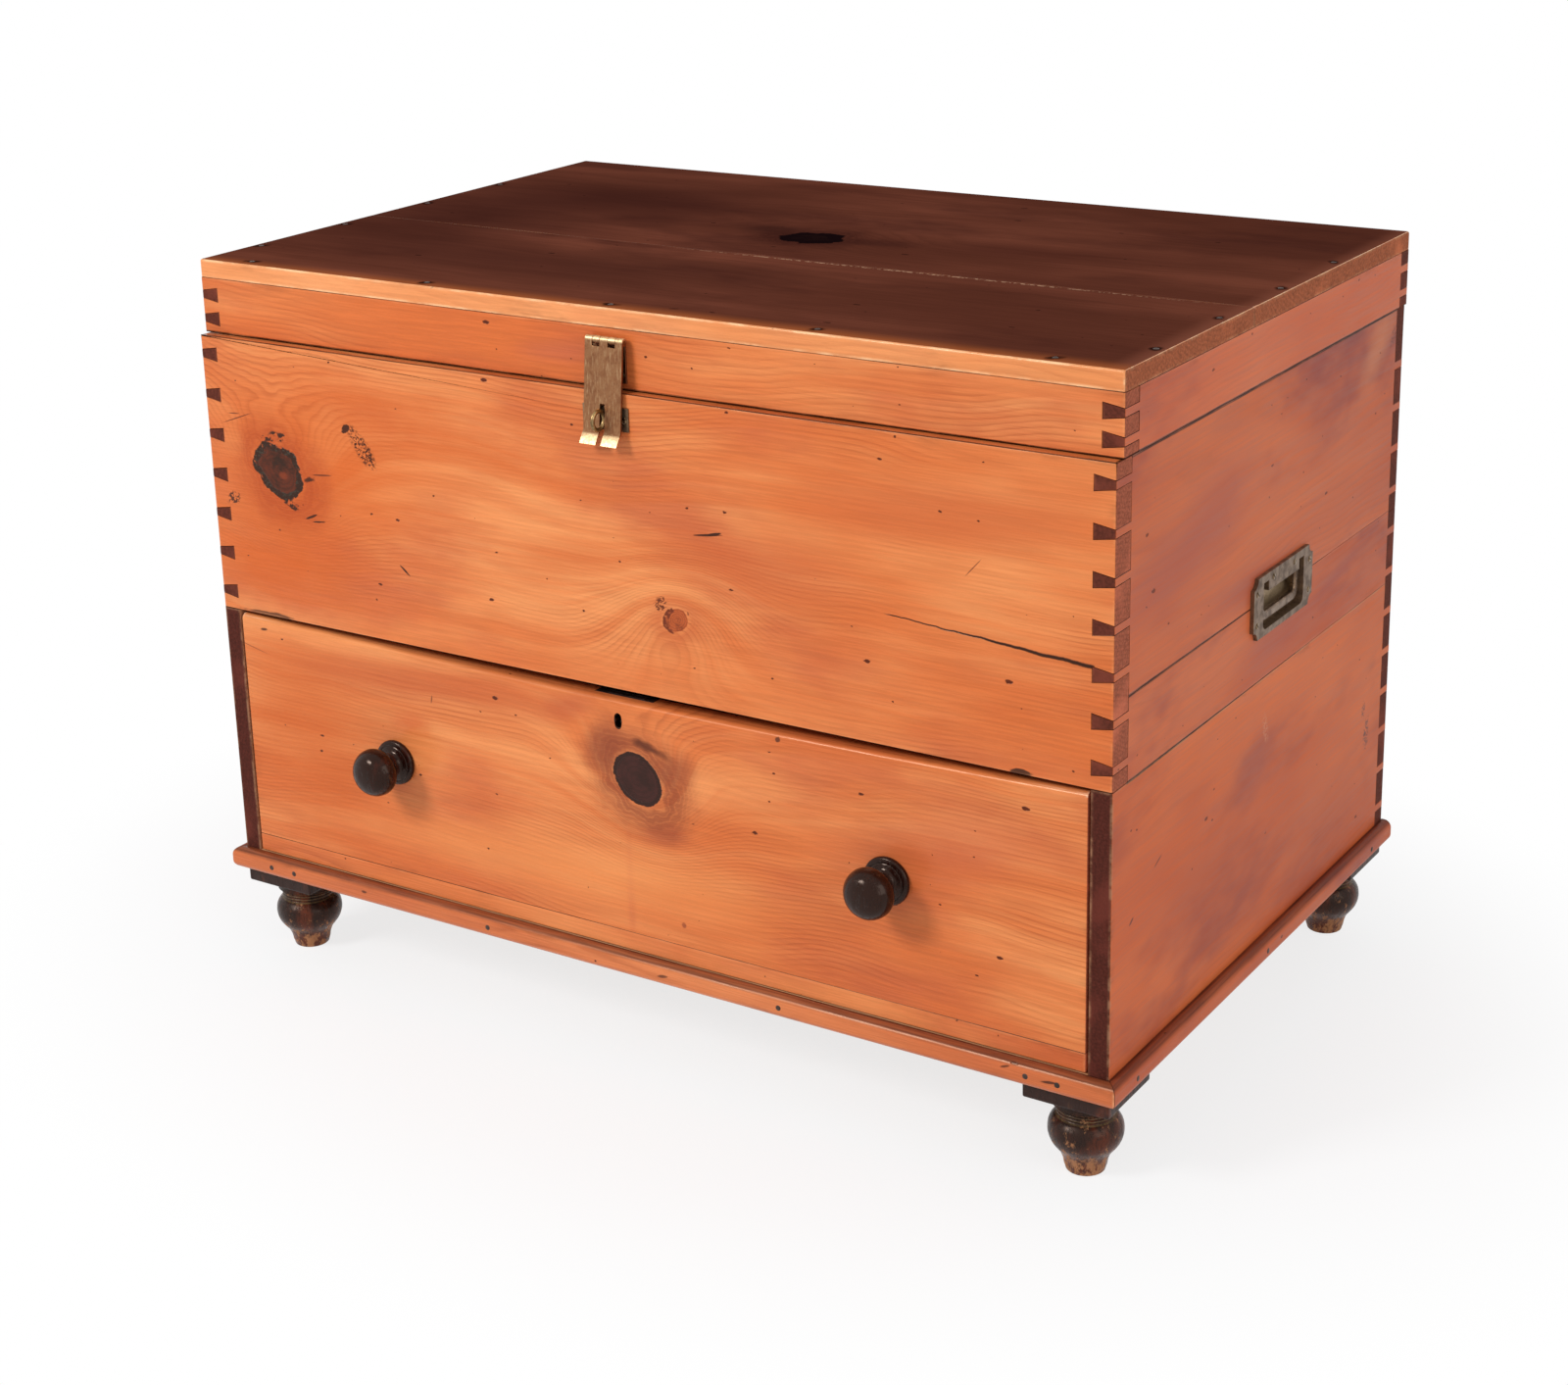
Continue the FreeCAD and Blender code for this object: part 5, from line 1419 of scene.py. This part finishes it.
@dataclass
class Feet:
    """Four turned feet with their square blocks."""

    shop: Shop
    profile: Profile = (
        (0, 0), (16.5, 0), (16.5, 0), (17.8, 0.8), (18.4, 3), (19.4, 6), (19.4, 6), (20.6, 12), (23.6, 19),
        (27.6, 24), (31.4, 29.5), (33.7, 36), (34.1, 42), (32.9, 48), (29.6, 53), (26.4, 55.6), (26.4, 55.6),
        (25.7, 56.6), (26.6, 57.6), (26.9, 58.8), (26.2, 59.8), (26.2, 59.8), (26.7, 61), (27.4, 62), (26.9, 63),
        (26.9, 63), (27.6, 64), (30.9, 67), (30.9, 67), (30.2, 70), (30.2, 78), (30.2, 78), (0, 78),
    )
    worn: Ebonised = Ebonised(
        "foot_finish", (38, 22, 19), (100, 46, 28), wear=1.0, toe=36.0, rings=(52.0, 69.0), roughness=0.3, gloss=0.26,
    )
    block_edge: float = 2.0
    block: Ebonised = Ebonised("foot_block_finish", (42, 25, 23), wear=0.35, roughness=0.45, gloss=0.3)

    def build(self) -> None:
        """Builds the blocks and the turned feet."""
        lathe = Turning(self.shop)
        for end in ("front", "rear"):
            for side, _ in SIDES:
                node = f"turned_foot_{end}_{side}"
                low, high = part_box(node)
                base = ((low.x + high.x) / 2, (low.y + high.y) / 2, 0)
                lathe.turn(node, "carcase", self.profile, base, Vector((0, 0, 1)), self.worn)
                self.shop.cast(f"foot_block_{end}_{side}", "carcase", Slot.EBONISED, self.block, self.block_edge)


@dataclass
class Knobs:
    """The drawer's two turned knobs."""

    shop: Shop
    face: float = -302.0
    profile: Profile = (
        (0, 0), (22.4, 0), (22.4, 0), (23.0, 1.2), (23.0, 3.2), (22.0, 4.9), (19.4, 5.8), (19.4, 5.8), (18.2, 5.3),
        (17.0, 6.0), (17.0, 6.0), (12.8, 8.2), (11.0, 11.5), (10.6, 15), (10.6, 15), (12.0, 15.6), (12.5, 16.6),
        (11.8, 17.6), (11.8, 17.6), (15.4, 19.4), (20.6, 23.8), (23.5, 29.0), (23.9, 33.5), (22.6, 39.0),
        (18.6, 44.6), (13.2, 47.9), (7.0, 49.6), (0, 50),
    )
    glossy: Ebonised = Ebonised("knob_finish", (32, 11, 7), (84, 34, 24), wear=0.35, roughness=0.14, gloss=0.27)

    def build(self) -> None:
        """Builds both knobs."""
        lathe = Turning(self.shop)
        for side, _ in SIDES:
            low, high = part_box(f"knob_{side}")
            base = ((low.x + high.x) / 2, self.face * MM, (low.z + high.z) / 2)
            lathe.turn(f"knob_{side}", "drawer", self.profile, base, Vector((0, -1, 0)), self.glossy)


@dataclass
class Drawer:
    """The long drawer with its lock."""

    shop: Shop
    bead: float = 5.5
    bead_slack: float = 7.6
    arris: float = 0.9
    inner: float = 0.6
    bare: float = 0.8
    seam: float = 0.3
    lock_edge: float = 0.3

    def build(self) -> None:
        """Builds the drawer's boards and its lock."""
        marks: tuple[Mark, ...] = (
            Knot(13, 296, 28, 23.5, -37, core=(56, 23, 24), bark=(38, 14, 16), bark_width=0.09, bark_breaks=0.2,
                 halo=(132, 54, 34), halo_reach=2.9, halo_share=0.8, swirl=18.0, spread=2.5, ragged=0.12),
            # Painted shade: the two near-black blots fill the keyhole, where shade falls.
            Blot(-6.7, 350.7, 4.6, 7.6, 0, (14, 6, 4), 1.0, 0.05, 0.05),
            Blot(-6.7, 346.6, 3.9, 4.4, 0, (14, 6, 4), 1.0, 0.05, 0.05),
            Blot(-22, 322, 34, 24, 30, (124, 54, 40), 0.5, 0.6, 0.8),
            Blot(52, 312, 30, 18, 20, (138, 62, 44), 0.5, 0.7, 0.8),
            Blot(40, 246, 34, 12, 10, (170, 78, 50), 0.5, 0.7, 0.9),
            Blot(-70, 352, 40, 16, 20, (184, 84, 52), 0.5, 0.6, 0.9),
            Blot(30, 329, 22, 5.5, -16, (84, 34, 22), 0.85, 1.0, 0.6),
            # Partly a stain, partly painted shade: this broad stain also darkens the left end of the drawer front, as
            # the light falls off there.
            Blot(-390, 260, 120, 130, 0, (200, 84, 18), 0.6, 0.6, 0.9),
            Blot(-448, 366, 5, 1.6, 6, (70, 34, 24), 0.9, 0.4, 0.4),
            Blot(-232, 330, 5, 0.8, 80, (90, 44, 30), 0.8, 0.4, 0.4),
            Blot(-470, 345, 26, 0.6, -12, (120, 56, 36), 0.7, 0.3, 0.4),
            Blot(60, 158, 3, 3, 0, (150, 70, 44), 0.8, 0.4, 0.4),
            Blot(0, 180, 5, 60, 0, (192, 92, 60), 0.35, 0.5, 0.9),
            Blot(170, 366, 3, 2.4, 40, (90, 44, 30), 0.9, 0.4, 0.3),
            Blot(340, 300, 120, 30, 10, (200, 98, 66), 0.45, 0.6, 0.9),
            Blot(-260, 300, 24, 12, 0, (206, 84, 34), 0.5, 0.6, 0.9),
            Blot(-60, 190, 280, 34, 3, (250, 164, 96), 0.45, 0.5, 0.9),
            Blot(-240, 345, 190, 26, 2, (186, 82, 44), 0.5, 0.7, 0.9),
            Blot(-282, 228, 26, 8, 0, (170, 74, 40), 0.35, 0.5, 0.9),
            Blot(282, 228, 26, 8, 0, (170, 74, 40), 0.35, 0.5, 0.9),
        )
        faces = {"+z": self.bead, "-z": self.seam, "-y": self.bead, "+y": self.inner}
        self.shop.board(
            "drawer_front", Axis.ACROSS, Axis.DEEP, -1, DRAWER, arris=self.arris, faces=faces,
            slack=self.bead_slack, heart=(-210, 70), turn=61, marks=marks, body="drawer",
        )
        self.shop.board(
            "drawer_front_strip", Axis.ACROSS, Axis.DEEP, -1, arris=self.arris, faces={"+z": self.seam}, turn=65,
            heart=(6, 80), body="drawer",
        )
        rows = (
            ("side_left", Axis.DEEP, Axis.ACROSS, -1), ("side_right", Axis.DEEP, Axis.ACROSS, 1),
            ("back", Axis.ACROSS, Axis.DEEP, 1), ("bottom", Axis.ACROSS, Axis.UP, 1),
        )
        for turn, (name, grain, face, sign) in enumerate(rows):
            self.shop.board(
                f"drawer_{name}", grain, face, sign, BARE, arris=self.bare, turn=turn + 71, body="drawer",
                slot=Slot.INNER,
            )
        self.shop.cast("lock_case", "drawer", Slot.IRON, IRON, self.lock_edge)
        self.shop.cast("lock_bolt", "lock_bolt", Slot.IRON, IRON, self.lock_edge)


@dataclass
class Hardware:
    """The hasp, its staple, the flush handles and the hinges."""

    shop: Shop
    pin_edge: float = 0.15
    plate_edge: float = 0.2
    tray_edge: float = 0.3

    def build(self) -> None:
        """Dresses the metal parts."""
        rows = [
            ("hasp_strap", "hasp", HASP, self.plate_edge), ("hasp_leaf", "lid", HASP, self.plate_edge),
            ("hasp_pin", "lid", STAPLE, self.pin_edge), ("staple_plate", "carcase", PLATE, self.plate_edge),
        ]
        for side, _ in SIDES:
            rows += [
                (f"handle_tray_{side}", "carcase", TRAY, self.tray_edge),
                (f"hinge_lower_leaf_{side}", "carcase", PLATE, self.plate_edge),
                (f"hinge_upper_leaf_{side}", "lid", PLATE, self.plate_edge),
            ]
        rows.append(("hinge_pins", "carcase", STAPLE, self.pin_edge))
        for node, body, finish, edge in rows:
            self.shop.cast(node, body, Slot.BRASS, finish, edge)
        self.shop.paint("staple", STAPLE)
        for side, _ in SIDES:
            self.shop.paint(f"handle_bail_{side}", BAIL)


@dataclass(frozen=True)
class Head:
    """The shape of a screw or nail head, for a radius of 1."""

    name: str
    crown: float
    slot_width: float = 0.0
    slot_depth: float = 0.0
    sides: int = 16
    shank: float = 0.5
    dome: Profile = ((1.0, 1.0), (0.9, 0.55), (0.62, 0.2), (0.3, 0.04))

    def cut_slot(self, bm: bmesh.types.BMesh) -> None:
        """Cuts the slot for the screwdriver across the head.

        Args:
            bm: The head's shape.
        """
        for edge_at in (-self.slot_width, self.slot_width):
            geometry = bm.verts[:] + bm.edges[:] + bm.faces[:]
            bmesh.ops.bisect_plane(bm, geom=geometry, plane_co=(edge_at, 0, 0), plane_no=(1, 0, 0))
        for vert in bm.verts:
            if abs(vert.co.x) < self.slot_width - 1e-4 and vert.co.z > -self.crown - 0.01:
                vert.co.z -= self.slot_depth
        centres = [(face, face.calc_center_median()) for face in bm.faces]
        inner = [f for f, at in centres if abs(at.x) < self.slot_width * 0.9 and at.z > -self.crown - 0.2]
        made = bmesh.ops.extrude_face_region(bm, geom=inner)
        floor = [g for g in made["geom"] if isinstance(g, bmesh.types.BMVert)]
        bmesh.ops.translate(bm, verts=floor, vec=(0, 0, -self.slot_depth))
        bmesh.ops.delete(bm, geom=inner, context="FACES")

    def pattern(self) -> bpy.types.Object:
        """Makes the head, with its top at zero and its axis up.

        Returns:
            The pattern object, linked to the scene.
        """
        bm = bmesh.new()
        rings = []
        angles = [2 * math.pi * (k + 0.5) / self.sides for k in range(self.sides)]
        heights = [(1.0, -self.crown - self.shank)] + [(radius, -self.crown * drop) for radius, drop in self.dome]
        for radius, height in heights:
            rings.append([bm.verts.new((radius * math.cos(a), radius * math.sin(a), height)) for a in angles])
        for low, high in zip(rings, rings[1:]):
            for k in range(self.sides):
                after = (k + 1) % self.sides
                bm.faces.new((low[k], low[after], high[after], high[k]))
        bm.faces.new(rings[-1])
        bm.faces.new(tuple(reversed(rings[0])))
        if self.slot_depth:
            self.cut_slot(bm)
        bmesh.ops.recalc_face_normals(bm, faces=bm.faces)
        made = bpy.data.objects.new(self.name, settle(bm, self.name))
        bpy.context.scene.collection.objects.link(made)
        return made


@dataclass
class Fixings:
    """Screw and nail heads, set out by Geometry Nodes where the frame has them."""

    shop: Shop
    turn_seed: int = 7
    fit: float = 0.985
    hub: tuple[float, float, float] = (0.0, 0.02, 0.4)

    def group(self) -> bpy.types.NodeTree:
        """Builds the tree that sets a head on every point.

        Returns:
            The node group.
        """
        made = bpy.data.node_groups.new("set_heads", "GeometryNodeTree")
        sockets = (("Geometry", "Geometry"), ("Head", "Object"), ("Turn Seed", "Int"), ("Finish", "Material"))
        for name, kind in sockets:
            made.interface.new_socket(name, in_out="INPUT", socket_type="NodeSocket" + kind)
        made.interface.new_socket("Geometry", in_out="OUTPUT", socket_type="NodeSocketGeometry")
        node = Tree(made).node
        given = node("NodeGroupInput", {}).outputs
        head = node("GeometryNodeObjectInfo", {"Object": given["Head"]})
        aim = node("GeometryNodeInputNamedAttribute", {"Name": "aim"}, data_type="FLOAT_VECTOR")
        size = node("GeometryNodeInputNamedAttribute", {"Name": "size"}, data_type="FLOAT")
        align = node("FunctionNodeAlignRotationToVector", {"Vector": aim.outputs[0]}, axis="Z")
        turn = node("FunctionNodeRandomValue", {3: math.pi, "Seed": given["Turn Seed"]})
        spin = node("FunctionNodeAxisAngleToRotation", {0: (0, 0, 1), 1: turn.outputs[1]})
        both = node("FunctionNodeRotateRotation", {0: align.outputs[0], 1: spin.outputs[0]}, rotation_space="LOCAL")
        setter = node("GeometryNodeInstanceOnPoints", {
            "Points": given["Geometry"], "Instance": head.outputs["Geometry"], "Rotation": both.outputs[0],
            "Scale": size.outputs[0],
        })
        real = node("GeometryNodeRealizeInstances", {0: setter.outputs[0]})
        paint = node("GeometryNodeSetMaterial", {"Geometry": real.outputs[0], "Material": given["Finish"]})
        node("NodeGroupOutput", {0: paint.outputs[0]})
        return made

    def points(self, node: str, back: bool) -> bpy.types.Object:
        """Makes a point for each fixing of a node, with the head's aim and size.

        Args:
            node: The node that holds the fixings.
            back: True where the heads look inwards.

        Returns:
            The points, linked to the scene.
        """
        spots, aims, sizes = [], [], []
        for low, high in self.shop.islands(node):
            span, middle = high - low, (low + high) / 2
            axis = max(range(3), key=lambda i: span[i])
            sign = (1.0 if middle[axis] > self.hub[axis] else -1.0) * (-1.0 if back else 1.0)
            middle[axis] = high[axis] if sign > 0 else low[axis]
            spots.append(tuple(middle))
            aims.extend(sign if i == axis else 0.0 for i in range(3))
            sizes.append(max(span[i] for i in range(3) if i != axis) / 2 * self.fit)
        mesh = bpy.data.meshes.new("points_" + node)
        mesh.from_pydata(spots, [], [])
        mesh.attributes.new("aim", "FLOAT_VECTOR", "POINT").data.foreach_set("vector", aims)
        mesh.attributes.new("size", "FLOAT", "POINT").data.foreach_set("value", sizes)
        holder = bpy.data.objects.new("points_" + node, mesh)
        bpy.context.scene.collection.objects.link(holder)
        return holder

    def set_out(self, node: str, body: str, head: bpy.types.Object, finish: Metal, back: bool = False) -> None:
        """Sets heads where a node's fixings are.

        Args:
            node: The node that holds the fixings.
            body: Its body.
            head: The pattern for the head.
            finish: The metal.
            back: True where the heads look inwards.
        """
        holder = self.points(node, back)
        modifier = holder.modifiers.new("set_heads", "NODES")
        modifier.node_group = self.tree
        sockets = {s.name: s.identifier for s in self.tree.interface.items_tree if s.in_out == "INPUT"}
        modifier[sockets["Head"]] = head
        modifier[sockets["Turn Seed"]] = self.turn_seed
        modifier[sockets["Finish"]] = self.shop.material(finish)
        graph = bpy.context.evaluated_depsgraph_get()
        mesh = bpy.data.meshes.new_from_object(holder.evaluated_get(graph), depsgraph=graph)
        bpy.data.objects.remove(holder)
        piece = self.shop.smooth(self.shop.place(mesh, "heads_" + node, self.shop.material(finish)), SOFT_ANGLE)
        self.shop.show(piece, body, Slot.BRASS if finish is SCREW else Slot.IRON, [node])

    def build(self) -> None:
        """Sets out every screw and nail."""
        self.tree = self.group()
        screw = Head("screw_head", 0.16, 0.16, 0.3).pattern()
        nail = Head("nail_head", 0.22, sides=12).pattern()
        self.set_out("carcase_screws", "carcase", screw, SCREW)
        self.set_out("lid_screws", "lid", screw, SCREW)
        self.set_out("lock_screws", "drawer", screw, IRON, back=True)
        self.set_out("lid_nails", "lid", nail, NAIL)
        self.set_out("moulding_nails", "carcase", nail, NAIL)
        for pattern in (screw, nail):
            bpy.data.objects.remove(pattern)


@dataclass
class Studio:
    """A pale floor, soft lamps and the camera."""

    lens: float = 61.72
    shift: float = -0.1003
    stand: tuple[float, float, float] = (1.398593, -2.169033, 1.255552)
    turn: tuple[float, float, float] = (1.267780, 0.0243927, 0.569699)
    aim: tuple[float, float, float] = (0, 0, 0.35)
    sensor: float = 36.0
    reach: float = 30.0
    grey: Colour = (244, 244, 246)
    oval: tuple[float, float, float] = (0.8, 1.0, 0.0)
    shadow: tuple[float, float] = (0.40, 0.80)
    shadow_glow: float = 0.77
    ambient: float = 0.44

    def floor(self) -> None:
        """Lays the floor, which keeps the shadow and is white where the camera sees it lit."""
        graph = Graph.of("studio_floor")
        matt = graph.wire("BsdfDiffuse", {"Color": display(self.grey)})
        glow = graph.wire("Emission", {"Color": (1, 1, 1, 1), "Strength": 1.0})
        away = graph.vector("LENGTH", graph.vector("MULTIPLY", graph.place(), self.oval), out="Value")
        share = graph.seen() * graph.step(away, *self.shadow, self.shadow_glow, 1.0)
        graph.node("OutputMaterial", {0: graph.wire("MixShader", {0: share, 1: matt, 2: glow})})
        mesh = bpy.data.meshes.new("studio_floor")
        corners = [(x * self.reach, y * self.reach, 0) for x, y in ((-1, -1), (1, -1), (1, 1), (-1, 1))]
        mesh.from_pydata(corners, [], [(0, 1, 2, 3)])
        mesh.materials.append(graph.owner)
        floor = bpy.data.objects.new("studio_floor", mesh)
        bpy.context.scene.collection.objects.link(floor)

    def air(self) -> None:
        """Gives the world its even light, and its white where the camera or gloss sees it."""
        world = bpy.data.worlds.new("studio_air")
        bpy.context.scene.world = world
        graph = Graph(world)
        level = graph.wire("MapRange", {0: graph.seen(), 3: self.ambient, 4: 1.0})
        back = graph.wire("Background", {"Color": (1, 1, 1, 1), "Strength": level})
        graph.node("OutputWorld", {"Surface": back})

    def lamp(self, name: str, place: Sequence[float], power: float, size: float) -> None:
        """Hangs a soft lamp that looks at the chest.

        Args:
            name: Its name.
            place: Where it hangs.
            power: Its power in watts.
            size: The side of its square.
        """
        light = bpy.data.lights.new(name, "AREA")
        light.energy, light.size = power, size
        lamp = bpy.data.objects.new(name, light)
        lamp.location = place
        lamp.rotation_euler = (Vector(self.aim) - Vector(place)).to_track_quat("-Z", "Y").to_euler()
        bpy.context.scene.collection.objects.link(lamp)

    def camera(self) -> None:
        """Sets up the camera at three-quarter view."""
        lens = bpy.data.cameras.new("studio_camera")
        lens.lens, lens.sensor_width, lens.sensor_fit, lens.shift_y = self.lens, self.sensor, "HORIZONTAL", self.shift
        camera = bpy.data.objects.new("studio_camera", lens)
        camera.location, camera.rotation_euler = self.stand, self.turn
        bpy.context.scene.collection.objects.link(camera)
        bpy.context.scene.camera = camera

    def build(self) -> None:
        """Sets up the studio."""
        bpy.context.scene.view_settings.view_transform = "Standard"
        self.camera()
        self.floor()
        self.air()
        self.lamp("key_lamp", (-1.6, -3.2, 2.8), power=92.0, size=1.1)
        self.lamp("fill_lamp", (3.4, -1.2, 1.8), power=34.0, size=2.4)
        LOG.info("studio: camera, floor and lamps")


def main() -> None:
    """Builds the studio and then the chest piece by piece."""
    logging.basicConfig(level=logging.INFO, format="%(name)s %(message)s")
    Studio().build()
    shop = Shop()
    for part in (Case, Lid, Drawer, Knobs, Feet, Hardware, Fixings):
        part(shop).build()


if __name__ == "__main__":
    main()
